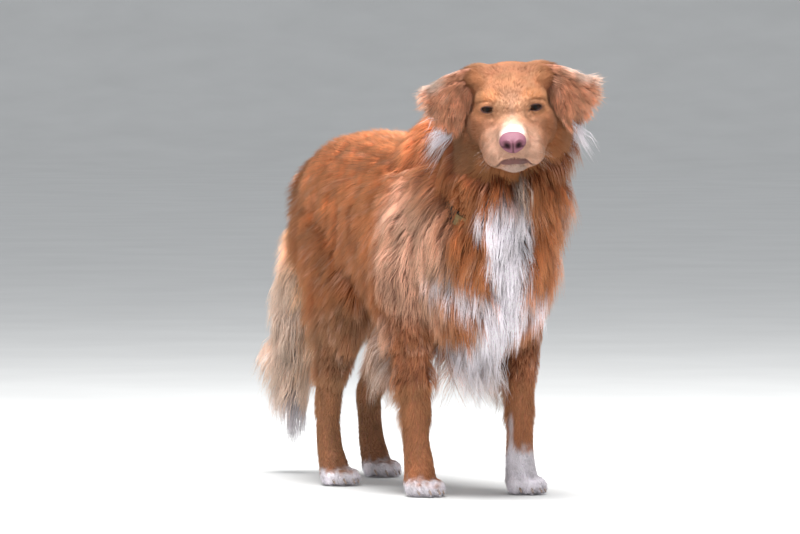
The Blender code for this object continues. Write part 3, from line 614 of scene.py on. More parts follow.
def mark_tail(m):
    """The plume: red at its root, streaked with cream, and white at its tip."""
    z = m.z
    m.cover(PLUME)
    m.paint(RED, 0.35 * ease(0.39, 0.45, z))
    m.paint(CREAM, 0.45 * ease(0.285, 0.32, m.y) * ease(0.1, 0.16, z))
    m.paint(CREAM, 0.65 * ease(0.1, 0.7, m.wander + 1.2 * (m.x < -0.014)) * ease(0.4, 0.3, z))
    m.paint(WHITE, ease(0.165, 0.115, z + 0.012 * m.wander))


def mark_tuft(m):
    m.cover(WHITE)


def mark_ear(m):
    """Gold at the top of the flap, dark streaks down it, and pale fringes at its edges."""
    away, up = m.away, m.up
    m.cover(EAR_RED)
    m.paint(GOLD, 0.8 * ease(0.085, 0.055, away) * ease(-0.02, 0.03, up))
    m.paint(EAR_SHADE, 0.75 * ease(-0.1, 0.8, m.fine) * ease(0.05, 0.07, away) * ease(0.105, 0.09, away))
    m.paint(BUFF, 0.7 * ease(0.1, 0.116, away + 0.006 * m.fine))
    m.paint(CREAM, 0.8 * ease(0.012, 0.026, up - 0.45 * (0.116 - away)) * ease(0.066, 0.09, away))


MARKS = {
    "body": (mark_trunk, mark_bib, mark_head, mark_feet),
    "feather": (mark_trunk, mark_bib, mark_feet, mark_feather),
    "tail": (mark_tail,),
    "tuft": (mark_tuft,),
    "ear": (mark_ear,),
}


def coat_colour(points, part="body"):
    """The markings of one part of the coat, with a slow drift and a fine one in brightness."""
    m = Markings(points)
    for mark in MARKS[part]:
        mark(m)
    return m.colour * (1 + 0.13 * m.wander + 0.07 * m.fine)[:, None]


# ------------------------------------------------------------------ the lie of the coat
# Place | heading | length of a lock, height of its tip over the skin, width, curl.
# The sides are alike: each row serves x and -x.
BODY_LIE = [
    (0, -0.15, 0.5, 0, 1, -0.1, 0.034, 0.012, 0.002, 0.2),
    (0, 0.04, 0.5, 0, 1, -0.05, 0.034, 0.011, 0.0019, 0.2),
    (0, 0.19, 0.49, 0, 1, -0.3, 0.034, 0.012, 0.002, 0.2),
    (0.06, -0.02, 0.47, 0.1, 0.9, -0.4, 0.034, 0.011, 0.0019, 0.3),
    (0.095, -0.03, 0.42, 0, 0.75, -0.65, 0.034, 0.012, 0.002, 0.5),
    (0.11, -0.03, 0.36, 0, 0.6, -0.8, 0.036, 0.013, 0.0021, 0.6),
    (0.1, -0.03, 0.29, 0, 0.5, -0.87, 0.04, 0.014, 0.0021, 0.6),
    (0.1, 0.08, 0.4, 0, 0.7, -0.7, 0.034, 0.012, 0.002, 0.5),
    (0.1, 0.08, 0.32, 0, 0.5, -0.85, 0.038, 0.014, 0.0021, 0.6),
    (0.09, -0.16, 0.45, 0, 0.6, -0.8, 0.038, 0.016, 0.0021, 0.5),
    (0.105, -0.17, 0.38, 0, 0.45, -0.9, 0.036, 0.015, 0.002, 0.6),
    (0.105, -0.19, 0.31, 0, 0.3, -0.95, 0.032, 0.013, 0.0019, 0.5),
    (0, -0.29, 0.4, 0, -0.1, -1, 0.056, 0.026, 0.0022, 0.7),
    (0.06, -0.27, 0.38, 0.2, 0.1, -1, 0.052, 0.026, 0.0022, 0.7),
    (0, -0.27, 0.3, 0, 0.1, -1, 0.056, 0.026, 0.0022, 0.8),
    (0.06, -0.24, 0.28, 0, 0.15, -1, 0.048, 0.022, 0.0021, 0.7),
    (0, -0.225, 0.215, 0, 0.1, -1, 0.092, 0.016, 0.0018, 0.9),
    (0, -0.18, 0.2, 0, 0.2, -1, 0.075, 0.012, 0.0018, 0.9),
    (0, -0.12, 0.22, 0, 0.4, -1, 0.046, 0.01, 0.0018, 0.8),
    (0, -0.02, 0.25, 0, 0.6, -0.9, 0.036, 0.01, 0.0018, 0.8),
    (0, 0.08, 0.28, 0, 0.7, -0.8, 0.036, 0.014, 0.002, 0.6),
    (0.08, -0.27, 0.46, 0.25, 0.35, -0.93, 0.06, 0.028, 0.0021, 0.7),
    (0.07, -0.29, 0.52, 0.4, 0.35, -0.9, 0.04, 0.014, 0.0017, 0.5),
    (0.06, -0.33, 0.49, 0.35, 0.2, -0.95, 0.042, 0.018, 0.0018, 0.6),
    (0.05, -0.33, 0.44, 0.25, 0.05, -1, 0.056, 0.03, 0.0023, 0.7),
    (0, -0.35, 0.45, 0, 0, -1, 0.05, 0.026, 0.0021, 0.7),
    (0, -0.2, 0.51, 0, 0.9, -0.5, 0.044, 0.016, 0.0021, 0.4),
    (0.04, -0.2, 0.5, 0.2, 0.75, -0.7, 0.048, 0.02, 0.0022, 0.5),
    (0.06, -0.25, 0.52, 0.3, 0.45, -0.85, 0.05, 0.02, 0.0022, 0.6),
    (0.09, 0.17, 0.4, 0, 0.55, -0.85, 0.036, 0.013, 0.002, 0.4),
    (0.095, 0.15, 0.32, 0, 0.45, -0.9, 0.036, 0.013, 0.002, 0.4),
    (0.05, 0.26, 0.36, 0.1, 0.55, -0.85, 0.046, 0.022, 0.0022, 0.5),
    (0.04, 0.24, 0.46, 0.2, 0.8, -0.6, 0.036, 0.014, 0.002, 0.4),
]


def leg_lie():
    """The legs' rows: hair runs down, long behind the forearm and the thigh, short below."""
    rows = []
    for side in SIDES:
        x, y = np.abs(FRONT_PAW[side][0]), FRONT_PAW[side][1]
        rows += [
            (x, y + 0.05, 0.24, 0, 0.35, -0.95, 0.044, 0.022, 0.0017, 0.7),
            (x, y + 0.045, 0.18, 0, 0.3, -1, 0.036, 0.016, 0.0016, 0.7),
            (x, y + 0.04, 0.13, 0, 0.25, -1, 0.02, 0.007, 0.0013, 0.4),
            (x, y - 0.02, 0.22, 0, 0.1, -1, 0.016, 0.004, 0.0014, 0.2),
            (x + 0.03, y + 0.01, 0.25, 0, 0.2, -1, 0.02, 0.005, 0.0015, 0.3),
            (x + 0.025, y + 0.012, 0.2, 0, 0.2, -1, 0.015, 0.004, 0.0013, 0.2),
            (x - 0.02, y + 0.005, 0.22, 0, 0.2, -1, 0.018, 0.004, 0.0014, 0.2),
            (x, y - 0.015, 0.14, 0, 0.1, -1, 0.011, 0.003, 0.0011, 0.1),
            (x, y, 0.08, 0, 0.05, -1, 0.009, 0.0022, 0.001, 0.1),
            (x, y - 0.005, 0.045, 0, -0.4, -0.9, 0.008, 0.002, 0.001, 0.1),
            (x, y - 0.02, 0.02, 0, -0.8, -0.5, 0.007, 0.0016, 0.001, 0),
        ]
        x, y = np.abs(HIND_PAW[side][0]), HIND_PAW[side][1]
        lean = HIND_LEAN[side]
        rows += [
            (x, y + lean[4] + 0.045, 0.26, 0, 0.4, -0.9, 0.046, 0.024, 0.0019, 0.5),
            (x, y + lean[5] + 0.035, 0.19, 0, 0.35, -0.9, 0.03, 0.012, 0.0016, 0.4),
            (x, y + lean[4] - 0.05, 0.25, 0, 0.3, -1, 0.026, 0.01, 0.0017, 0.3),
            (x, y + lean[5] - 0.03, 0.19, 0, 0.4, -1, 0.016, 0.006, 0.0014, 0.2),
            (x, y + lean[7], 0.13, 0, 0.2, -1, 0.011, 0.003, 0.0011, 0.1),
            (x, y + lean[9], 0.07, 0, 0, -1, 0.009, 0.0022, 0.001, 0.1),
            (x, y - 0.02, 0.02, 0, -0.8, -0.5, 0.007, 0.0016, 0.001, 0),
        ]
    return rows


# Across, ahead, up | heading the same way | length, height, width, curl.
HEAD_LIE = [
    (0, 0.08, -0.016, 0, -1, 0.2, 0.0035, 0.0008, 0.0007, 0),
    (0, 0.045, -0.008, 0, -1, 0.2, 0.0045, 0.001, 0.0007, 0),
    (0, 0.01, 0, 0, -0.8, 0.5, 0.006, 0.0009, 0.0008, 0),
    (0, -0.01, 0.03, 0, -0.6, 0.9, 0.0085, 0.0009, 0.0008, 0),
    (0.022, -0.008, 0.034, 0.45, -0.6, 0.7, 0.009, 0.001, 0.0008, 0.1),
    (0, -0.05, 0.055, 0, -1, 0.2, 0.011, 0.0024, 0.0009, 0.2),
    (0.035, -0.05, 0.05, 0.9, -0.4, 0.1, 0.016, 0.0045, 0.0011, 0.3),
    (0.05, -0.05, 0.05, 1, -0.1, -0.2, 0.022, 0.005, 0.0012, 0.4),
    (0, -0.11, 0.04, 0, -1, -0.6, 0.02, 0.004, 0.0013, 0.3),
    (0.028, 0.004, 0.019, 0.5, -0.3, 0.8, 0.006, 0.0009, 0.0008, 0),
    (0.045, -0.014, 0.01, 0.7, -0.8, 0.2, 0.0075, 0.0018, 0.0009, 0),
    (0.032, 0.004, -0.018, 0.6, -0.8, -0.2, 0.006, 0.0014, 0.0008, 0),
    (0.048, -0.02, -0.025, 0.7, -0.8, -0.4, 0.015, 0.0045, 0.001, 0.2),
    (0.047, -0.006, -0.055, 0.7, -0.6, -0.6, 0.017, 0.0055, 0.001, 0.3),
    (0.042, 0.02, -0.062, 0.6, -0.8, -0.4, 0.008, 0.0024, 0.0008, 0.1),
    (0.055, -0.045, -0.04, 0.7, -0.5, -0.7, 0.028, 0.011, 0.0013, 0.4),
    (0.055, -0.06, -0.075, 0.4, -0.3, -1, 0.04, 0.017, 0.0015, 0.5),
    (0.055, -0.045, 0.015, 0.7, -0.8, 0, 0.012, 0.0035, 0.001, 0.1),
    (0.032, 0.04, -0.03, 0.4, -0.9, -0.1, 0.005, 0.001, 0.0007, 0),
    (0.03, 0.055, -0.055, 0.3, -0.8, -0.5, 0.005, 0.0012, 0.0007, 0),
    (0.024, 0.075, -0.045, 0.4, -0.8, -0.5, 0.004, 0.0009, 0.0006, 0),
    (0.012, 0.07, -0.082, 0.1, -0.9, -0.4, 0.007, 0.002, 0.0009, 0.1),
    (0, 0.03, -0.082, 0, -1, -0.3, 0.011, 0.0035, 0.001, 0.2),
    (0, -0.01, -0.095, 0, -0.6, -0.9, 0.026, 0.01, 0.0016, 0.4),
    (0.035, -0.02, -0.085, 0.3, -0.6, -0.8, 0.026, 0.01, 0.0016, 0.4),
    (0.06, -0.09, -0.03, 0.4, -0.9, -0.7, 0.034, 0.013, 0.0017, 0.4),
]
EAR_LIE = [
    (0.05, -0.045, 0.05, 0.9, 0, -0.5, 0.026, 0.006, 0.0011, 0.5),
    (0.08, -0.05, 0.042, 0.9, 0, -0.5, 0.026, 0.006, 0.0011, 0.5),
    (0.08, -0.045, 0.01, 0.5, 0, -0.9, 0.024, 0.005, 0.0011, 0.6),
    (0.058, -0.032, 0.01, 0.1, 0, -1, 0.02, 0.004, 0.001, 0.4),
    (0.078, -0.038, -0.02, 0.15, 0, -1, 0.022, 0.005, 0.0011, 0.5),
    (0.112, -0.062, 0.025, 1, -0.1, 0.05, 0.03, 0.008, 0.0011, 0.7),
    (0.116, -0.058, 0.005, 1, -0.1, -0.4, 0.028, 0.008, 0.0011, 0.7),
    (0.108, -0.05, -0.018, 0.6, -0.1, -0.9, 0.024, 0.007, 0.0011, 0.7),
]
TAIL_LIE = [
    (0.01, 0.23, 0.44, 0.3, 0.9, -0.4, 0.036, 0.014, 0.0019, 0.4),
    (0.01, 0.27, 0.39, 0.3, 0.45, -0.9, 0.048, 0.02, 0.002, 0.6),
    (0.01, 0.31, 0.32, 0.3, 0.4, -1, 0.062, 0.026, 0.0021, 0.9),
    (0.01, 0.33, 0.24, 0.3, 0.25, -1, 0.07, 0.032, 0.0022, 1),
    (0.01, 0.345, 0.17, 0.2, 0.15, -1, 0.068, 0.028, 0.0021, 0.9),
    (0.01, 0.352, 0.11, 0.1, 0.05, -1, 0.06, 0.014, 0.0019, 0.5),
]
FEATHER_LIE = [
    (0.078, -0.14, 0.28, 0.05, 0.65, -0.8, 0.066, 0.028, 0.0014, 1.5),
    (0.078, -0.14, 0.22, 0.05, 0.7, -0.75, 0.074, 0.032, 0.0014, 1.6),
    (0.078, -0.15, 0.16, 0.05, 0.55, -0.85, 0.052, 0.02, 0.0013, 1.4),
    (0.078, -0.17, 0.12, 0.05, 0.35, -0.95, 0.03, 0.008, 0.0012, 1),
    (0, -0.21, 0.215, 0.05, 0.15, -1, 0.095, 0.012, 0.0014, 1.4),
    (0.055, 0.08, 0.28, 0.1, 0.4, -0.9, 0.036, 0.01, 0.0013, 1),
    (0.055, 0.2, 0.28, 0.1, 0.4, -0.9, 0.036, 0.01, 0.0013, 1),
]
# The white wisps behind the ears: the right one is flung further out.
RIGHT_TUFT_LIE = [
    (0.1, -0.06, -0.01, 0.9, -0.2, -1, 0.092, 0.008, 0.0012, 0.9),
    (0.085, -0.05, -0.03, 0.75, -0.2, -1, 0.09, 0.008, 0.0012, 0.9),
]
LEFT_TUFT_LIE = [
    (0.1, -0.06, -0.01, 0.25, -0.25, -1, 0.08, 0.008, 0.0012, 0.9),
    (0.085, -0.05, -0.03, 0.15, -0.25, -1, 0.078, 0.008, 0.0012, 0.9),
]
LIES = {
    "body": BODY_LIE + leg_lie(),
    "tail": TAIL_LIE,
    "feather": FEATHER_LIE,
    "head": HEAD_LIE,
    "ear": EAR_LIE,
    "tuft_right": RIGHT_TUFT_LIE,
    "tuft_left": LEFT_TUFT_LIE,
}
# these rows are in the dog's own frame, the others in its head's
BODY_KINDS = ("body", "tail", "feather")


def weighed(points, rows):
    """Each row's numbers, weighed by the cube of one over the distance squared."""
    rows = np.array(rows)
    near = ((points[:, None] - rows[None, :, :3]) ** 2).sum(-1) + 4e-5
    share = near**-3
    share /= share.sum(axis=1, keepdims=True)
    return share @ rows[:, 3:]


def lie_of(points, kind):
    """Heading, length, height, width and curl of the coat at each root.  The rows stand for
    the left side, so x is turned positive first and the heading's x turned back after."""
    local = points if kind in BODY_KINDS else of_head(points)
    flip = np.ones((len(points), 3))
    flip[local[:, 0] < 0, 0] = -1
    values = weighed(local * flip, LIES[kind])
    heading = values[:, :3] * flip
    if kind not in BODY_KINDS:
        heading = heading * (1, -1, 1) @ HEAD_TURN.T
    return heading, *values[:, 3:].T


# ------------------------------------------------------------------ tufts
def scattered(points, normals, triangles, weight, count, rng):
    """Random roots on triangles: chance by area times weight, place by two square-root shares."""
    a, b, c = (points[triangles[:, i]] for i in range(3))
    area = np.linalg.norm(np.cross(b - a, c - a), axis=1) * weight
    pick = np.searchsorted(np.cumsum(area), rng.random(count) * area.sum())
    pick = np.minimum(pick, len(triangles) - 1)
    s, t = np.sqrt(rng.random(count))[:, None], rng.random(count)[:, None]
    shares = (1 - s, s * (1 - t), s * t)
    root = sum(k * points[triangles[pick, i]] for i, k in enumerate(shares))
    normal = unit(sum(k * normals[triangles[pick, i]] for i, k in enumerate(shares)))
    return root, normal


def locks(root, tip, size, rng):
    """Each root's lock, which is the cell of a wavering grid that it falls in, the number of
    locks, and the mean tip of each root's lock."""
    waver = np.stack([ripple(root, 3.2 * size, 50 + i) for i in range(3)], -1) * size * 0.45
    key = np.floor((root + waver + rng.random(3) * size) / size).astype(np.int64)
    _, lock = np.unique(key @ np.array((1, 2**12, 2**24)), return_inverse=True)
    held = np.bincount(lock)
    mean_tip = np.stack([np.bincount(lock, tip[:, k]) / held for k in range(3)], -1)[lock]
    return lock, len(held), mean_tip


def collar_part(root):
    """1 where the ruff parts over the collar, on each side of the throat."""
    right = 0.95 * blob(root, (-0.07, -0.3, 0.431), (0.0162, 0.04, 0.034), 0.4)
    left = 0.95 * blob(root, (0.063, -0.315, 0.402), (0.009, 0.03, 0.028), 0.5)
    return np.maximum(right, left)


def tufts(name, surface, kind, part, count, weight, segments, seed, clump, pull, thin, pale=0.0):
    """Closed tapering spikes of three sides, rooted on the skin.

    A tuft's tip lies its length along the heading and its height over the skin, then is
    drawn by `pull` towards the mean tip of its lock, and `clump` is the size of a lock.
    Along it, s runs 0 to 1: its middle goes straight from root to tip, bows outward by
    4 s (1 - s), swings aside by curl * sin, and sinks by the square of s; its half width is
    width / 2 * (1 - s) ^ 0.7.  `kind` names its lie, `part` its markings, and `pale` is how
    light its root is, lifted out of the painted shade that darkens each tuft towards its root.
    """
    rng = np.random.default_rng(seed)
    root, normal = scattered(*surface, weight, count, rng)
    heading, length, height, width, curl = lie_of(root, kind)
    drift = np.stack([ripple(root, 0.06, seed + i) for i in range(3)], -1)
    heading = unit(heading) + (0.1 + 0.16 * curl)[:, None] * drift
    inward = (heading * normal).sum(1, keepdims=True)
    if kind in BODY_KINDS:
        inward = np.minimum(inward, 0) + 0.35 * np.maximum(inward, 0)
    heading = unit(heading - inward * normal)
    length = length * rng.uniform(0.75, 1.2, count)
    parted = collar_part(root)
    length = length * (1 - 0.8 * parted)
    band = ripple(root * (1, 1, 0.38), 0.03, 21) * (kind != "head")
    height = height * (1 + 0.5 * band) * rng.uniform(0.6, 1.1, count) * (1 - 0.8 * parted)
    aside = np.cross(heading, normal)
    heading = unit(heading + aside * rng.normal(0, 0.09, (count, 1)))
    tip = root + heading * length[:, None] + normal * height[:, None]
    lock, lock_count, mean_tip = locks(root, tip, clump, rng)
    stray = rng.normal(size=(lock_count, 3))[lock]
    lock_tip = mean_tip + stray * (0.07 * length * (0.2 + curl))[:, None]
    tip = tip + (lock_tip - tip) * (pull * rng.uniform(0.6, 1.0, count))[:, None]
    run = tip - root
    reach = np.linalg.norm(run, axis=1)
    along = unit(run)
    aside = unit(np.cross(along, normal))
    outer = np.cross(aside, along)
    s = np.linspace(0, 1, segments + 1)
    arch = s * (1 - s) * 4
    bow = np.minimum(height, 0.35 * reach) * 0.45
    phase = stray[:, :1] * 2.0
    wave = np.sin(s[None] * (4.2 + curl[:, None]) + phase) - np.sin(phase)
    swing = (curl * length * 0.075)[:, None] * wave
    droop = (0.1 * np.clip(length - 0.03, 0, 1))[:, None] * (s**2)[None]
    middle = (
        root[:, None]
        + run[:, None] * s[None, :, None]
        + outer[:, None] * (bow[:, None] * arch[None])[..., None]
        + aside[:, None] * swing[..., None]
        + np.array((0, 0, -1.0)) * droop[..., None]
    )
    half = (width * thin * rng.uniform(0.7, 1.25, count) * 0.5)[:, None] * (1 - s[None, :-1]) ** 0.7
    obj = fur_mesh(name, *spikes(middle, half, aside, outer))
    paint_fur(obj.data, root, lock, band, rng, segments, part, pale)
    return obj


def spikes(middle, half, aside, outer):
    """Points, quads and end triangles: a flat triangle round each middle point, of this half
    width, and the last middle point as the tip."""
    count, segments = half.shape
    wide, deep = aside[:, None] * half[..., None], outer[:, None] * half[..., None]
    corners = [-wide - deep * 0.25, wide - deep * 0.25, deep * 0.55]
    rings = middle[:, :-1, None] + np.stack(corners, axis=2)
    points = np.concatenate([rings.reshape(count, -1, 3), middle[:, -1:]], axis=1)
    i = np.arange(segments - 1)[:, None] * 3
    j = np.arange(3)
    k = (j + 1) % 3
    quads = np.stack([i + j, i + k, i + 3 + k, i + 3 + j], -1).reshape(-1, 4)
    tip = 3 * segments
    ends = np.vstack([np.stack([tip - 3 + j, tip - 3 + k, np.full(3, tip)], -1), [[2, 1, 0]]])
    shift = np.arange(count)[:, None, None] * (tip + 1)
    return points.reshape(-1, 3), (quads + shift).reshape(-1, 4), (ends + shift).reshape(-1, 3)


def fur_mesh(name, points, quads, ends):
    """One object of all the tufts' quads and end triangles."""
    mesh = bpy.data.meshes.new(name)
    points = np.clip(points, COAT_LOW, COAT_HIGH)
    mesh.vertices.add(len(points))
    mesh.vertices.foreach_set("co", (points + HOME).astype(np.float32).ravel())
    corners = np.concatenate([quads.ravel(), ends.ravel()]).astype(np.int32)
    starts = np.concatenate([np.arange(len(quads)) * 4, 4 * len(quads) + np.arange(len(ends)) * 3])
    mesh.loops.add(len(corners))
    mesh.loops.foreach_set("vertex_index", corners)
    mesh.polygons.add(len(starts))
    mesh.polygons.foreach_set("loop_start", starts.astype(np.int32))
    mesh.polygons.foreach_set("use_smooth", np.ones(len(starts), bool))
    mesh.update(calc_edges=True)
    return linked(bpy.data.objects.new(name, mesh))


def paint_fur(mesh, root, lock, band, rng, segments, part, pale):
    """Each tuft's colour, its tone, how far along it a point lies, and its patch of the unwrap."""
    count, per = len(root), 3 * segments + 1
    colour = coat_colour(root, part)
    if pale == 0:
        odd = rng.random(lock.max() + 1)[lock]
        colour = mixed(colour, BUFF, 0.3 * ease(0.8, 0.96, odd) * (colour[:, 2] < 0.25))
        colour = colour * (1 - 0.24 * ease(0.2, 0.05, odd) * (colour[:, 2] < 0.25))[:, None]
    point_colour(mesh, "coat", np.repeat(colour, per, axis=0))
    # A tuft's tone: random by tuft and by lock, paler on the ridges of the coat's waves and darker in their
    # troughs as painted shade.
    tone = 0.38 * rng.random(count) + 0.44 * rng.random(lock.max() + 1)[lock] + 0.09 + 0.24 * band
    tone = tone if pale == 0 else 0.5 + 0.34 * (tone - 0.5)
    point_value(mesh, "tone", np.repeat(tone, per))
    s = np.append(np.repeat(np.arange(segments), 3) / segments, 1.0)
    point_value(mesh, "along", np.tile(pale + (1 - pale) * s, count))
    patch = np.stack([np.append(np.tile((0.0, 0.5, 1.0), segments), 0.5), s], -1) * 0.003 - 0.0015
    flat = (unwrapped(root, part)[:, None] + patch[None]).reshape(-1, 2)
    corners = np.empty(len(mesh.loops), np.int32)
    mesh.loops.foreach_get("vertex_index", corners)
    layer = mesh.uv_layers.new(name="OFBake")
    layer.uv.foreach_set("vector", flat[corners].astype(np.float32).ravel())


def unwrapped(root, part):
    """The roots on an unwrap of the skin: turn round the part's own axis, and length along it,
    spread over the whole square."""
    if part in ("body", "feather"):
        turn = np.arctan2(root[:, 0] - root[:, 0].mean(), root[:, 2] - root[:, 2].mean())
        flat = np.stack([turn, root[:, 1] - 0.4 * root[:, 2]], -1)
    else:
        centre = root.mean(axis=0)
        turn = np.arctan2(root[:, 0] - centre[0], -(root[:, 1] - centre[1]))
        flat = np.stack([turn, root[:, 2]], -1)
    low, high = flat.min(axis=0), flat.max(axis=0)
    return 0.004 + 0.992 * (flat - low) / (high - low)


# ------------------------------------------------------------------ skin
LIP_LINE = [
    (0, 0.088, -0.054),
    (0.01, 0.085, -0.0556),
    (0.0185, 0.078, -0.0605),
    (0.027, 0.068, -0.069),
    (0.033, 0.052, -0.0735),
    (0.036, 0.032, -0.072),
    (0.038, 0.014, -0.0665),
]
# depth of the crease (below nothing for a ridge), its half width, and its line on the left side:
# the lips, the groove under the nose, the furrow of the brow, the brow's ridge, the eye's bag
CREASES = [
    (0.0024, 0.0016, LIP_LINE),
    (0.0011, 0.0013, [(0, 0.092, -0.042), (0, 0.0875, -0.053)]),
    (0.001, 0.006, [(0, 0.018, -0.004), (0, 0.002, 0.018), (0, -0.018, 0.046)]),
    (-0.0005, 0.005, [(0.014, 0.004, 0.012), (0.026, 0.004, 0.016), (0.04, -0.006, 0.013)]),
    (0.0012, 0.004, [(0.018, 0.012, -0.012), (0.033, 0.006, -0.014), (0.046, -0.006, -0.01)]),
]


def line_distance(points, line):
    """Least distance from each point to the straight pieces of a line."""
    line = smooth_rows(line, 5)
    a, run = line[:-1], np.diff(line, axis=0)
    share = ((points[:, None] - a) * run).sum(-1) / (run**2).sum(-1)
    foot = a + np.clip(share, 0, 1)[..., None] * run
    return np.linalg.norm(points[:, None] - foot, axis=-1).min(axis=1)


def face_form(points, normals):
    """Lids round each eyeball, the furrow of the brow, the lip line and the groove under the
    nose, as moves of the skin's points."""
    h = of_head(points)
    mirrored = np.stack([np.abs(h[:, 0]), h[:, 1], h[:, 2]], -1)
    deep = np.zeros(len(h))
    for depth, width, line in CREASES:
        deep += depth * np.exp(-((line_distance(mirrored, line) / width) ** 2))
    h = of_head(points - normals * deep[:, None])
    for sign in (-1, 1):
        seat = np.array(EYE_SEAT) * (sign, 1, 1)
        away = h - seat
        far = np.linalg.norm(away, axis=1)
        turned = away[:, 1] > 0.15 * far
        on_ball = away * (LID_BALL / np.maximum(far, 1e-6))[:, None]
        slant = on_ball[:, 2] - EYE_SLANT * (on_ball[:, 0] * sign)
        e = np.hypot(on_ball[:, 0] / EYE_HALF, slant / np.where(slant > 0, *EYE_OPEN))
        lid = LID_BALL + 0.0008 * ease(1.0, 1.3, e)
        goal = lid + (np.maximum(far, lid) - lid) * ease(1.1, 2.2, e)
        goal = goal + (far - goal) * ease(1.9, 2.8, e)
        goal = np.where(e < 1.0, EYE_RADIUS - 0.0022, goal)
        moved = seat + away * (goal / np.maximum(far, 1e-6))[:, None]
        near = turned & (e < 2.8) & (far < 0.026)
        h[near] = moved[near]
    return in_head(h)


def whole_skin():
    """Every shell made one even closed surface, refined on the face, with its folds."""
    shells = trunk_shells() + neck_shells() + head_shells() + [loft(TAIL_LINE, sides=20)]
    for side in SIDES:
        shells += leg_shells(side)
    skin = merged_shells("skin", shells)
    even = skin.modifiers.new("Even", "REMESH")
    even.mode = "VOXEL"
    even.voxel_size = SKIN_VOXEL
    soften = skin.modifiers.new("Soften", "SMOOTH")
    soften.iterations = 5
    applied(skin)
    melt_head(skin.data, rounds=9)
    for margin in (0.025, 0.0):
        refine_face(skin.data, margin)
    mesh = skin.data
    points = face_form(read_points(mesh), read_normals(mesh))
    points[:, 2] = np.maximum(points[:, 2], 0)
    write_points(mesh, points)
    return skin


def melt_head(mesh, rounds):
    """Each round moves the head's points six tenths of the way to their neighbours' mean, less near
    the muzzle's tip and at the head's edge."""
    points = read_points(mesh)
    h = of_head(points)
    share = 0.6 * ease(-0.105, -0.075, h[:, 1]) * ease(-0.115, -0.095, h[:, 2])
    share = share * (1 - 0.75 * ease(0.045, 0.075, h[:, 1]))
    ends = np.empty(len(mesh.edges) * 2, np.int32)
    mesh.edges.foreach_get("vertices", ends)
    a, b = ends.reshape(-1, 2).T
    degree = np.bincount(np.concatenate([a, b]), minlength=len(points))[:, None]
    for _ in range(rounds):
        totals = [
            np.bincount(a, points[b, k], len(points)) + np.bincount(b, points[a, k], len(points))
            for k in range(3)
        ]
        points += (np.stack(totals, -1) / degree - points) * share[:, None]
    write_points(mesh, points)


def refine_face(mesh, margin):
    """Halves the edges of the face, and of a margin round it, and rounds them off twice."""
    side, ahead, up = of_head(read_points(mesh)).T
    fine = (ahead > -0.02 - margin) & (ahead < 0.12) & (up > -0.092) & (up < 0.045 + margin)
    fine &= np.abs(side) < 0.055
    bm = bmesh.new()
    bm.from_mesh(mesh)
    chosen = {v for v, inside in zip(bm.verts, fine) if inside}
    edges = [e for e in bm.edges if e.verts[0] in chosen and e.verts[1] in chosen]
    bmesh.ops.subdivide_edges(bm, edges=edges, cuts=1, use_grid_fill=True)
    bm.verts.ensure_lookup_table()
    _, ahead, up = of_head(np.array([v.co for v in bm.verts]) - HOME).T
    inside = (ahead > -0.03 - margin) & (ahead < 0.12) & (up > -0.095) & (up < 0.06)
    chosen = [v for v, keep in zip(bm.verts, inside) if keep]
    every_axis = {f"use_axis_{axis}": True for axis in "xyz"}
    for _ in range(2):
        bmesh.ops.smooth_vert(bm, verts=chosen, factor=0.5, **every_axis)
    bm.to_mesh(mesh)
    bm.free()
    mesh.polygons.foreach_set("use_smooth", np.ones(len(mesh.polygons), bool))
    mesh.update()


def surface_of(mesh):
    return read_points(mesh), read_normals(mesh), read_triangles(mesh)


# ------------------------------------------------------------------ eyes, nose, whiskers
def eyeball(side):
    """Ball round the eye's own axis: its radius bulges by 0.5 mm over the cornea, as
    exp(-(angle / 0.45)^2).  `look` is the angle from the axis."""
    sign = SIDES[side]
    angle = np.linspace(0.02, np.pi - 0.02, 48)[:, None]
    turn = np.linspace(0, 2 * np.pi, 64, endpoint=False)
    radius = EYE_RADIUS + 0.0005 * np.exp(-((angle / 0.45) ** 2))
    ring = np.stack(
        [np.sin(angle) * np.cos(turn), np.cos(angle) + 0 * turn, np.sin(angle) * np.sin(turn)], -1
    )
    points = (ring * radius[..., None]).reshape(-1, 3) + np.array(EYE_SEAT) * (sign, 1, 1)
    obj = mesh_piece(f"eye_{side}_ball", in_head(points), ring_faces(48, 64))
    point_value(obj.data, "look", np.repeat(angle.ravel(), 64))
    return outward(obj)


def outward(obj):
    bm = bmesh.new()
    bm.from_mesh(obj.data)
    bmesh.ops.recalc_face_normals(bm, faces=bm.faces)
    bm.to_mesh(obj.data)
    bm.free()
    return obj


def tube(path, radii, sides=10, closed=False):
    """A round profile carried along a path, each ring square to it; a closed path is a loop."""
    path, radii = np.asarray(path, float), np.asarray(radii, float)
    if closed:
        tangents = unit(np.roll(path, -1, axis=0) - np.roll(path, 1, axis=0))
    else:
        tangents = unit(np.gradient(path, axis=0))
    helper = np.array((0.13, 0.31, 0.94))
    side = unit(np.cross(tangents, helper))
    rise = np.cross(side, tangents)
    turn = np.linspace(0, 2 * np.pi, sides, endpoint=False)
    ring = side[:, None] * np.cos(turn)[None, :, None] + rise[:, None] * np.sin(turn)[None, :, None]
    points = (path[:, None] + ring * radii[:, None, None]).reshape(-1, 3)
    if not closed:
        return points, ring_faces(len(path), sides)
    i = np.arange(len(path))[:, None] * sides
    j = np.arange(sides)
    k = (j + 1) % sides
    after = (i + sides) % (len(path) * sides)
    return points, np.stack([i + j, i + k, after + k, after + j], -1).reshape(-1, 4).tolist()


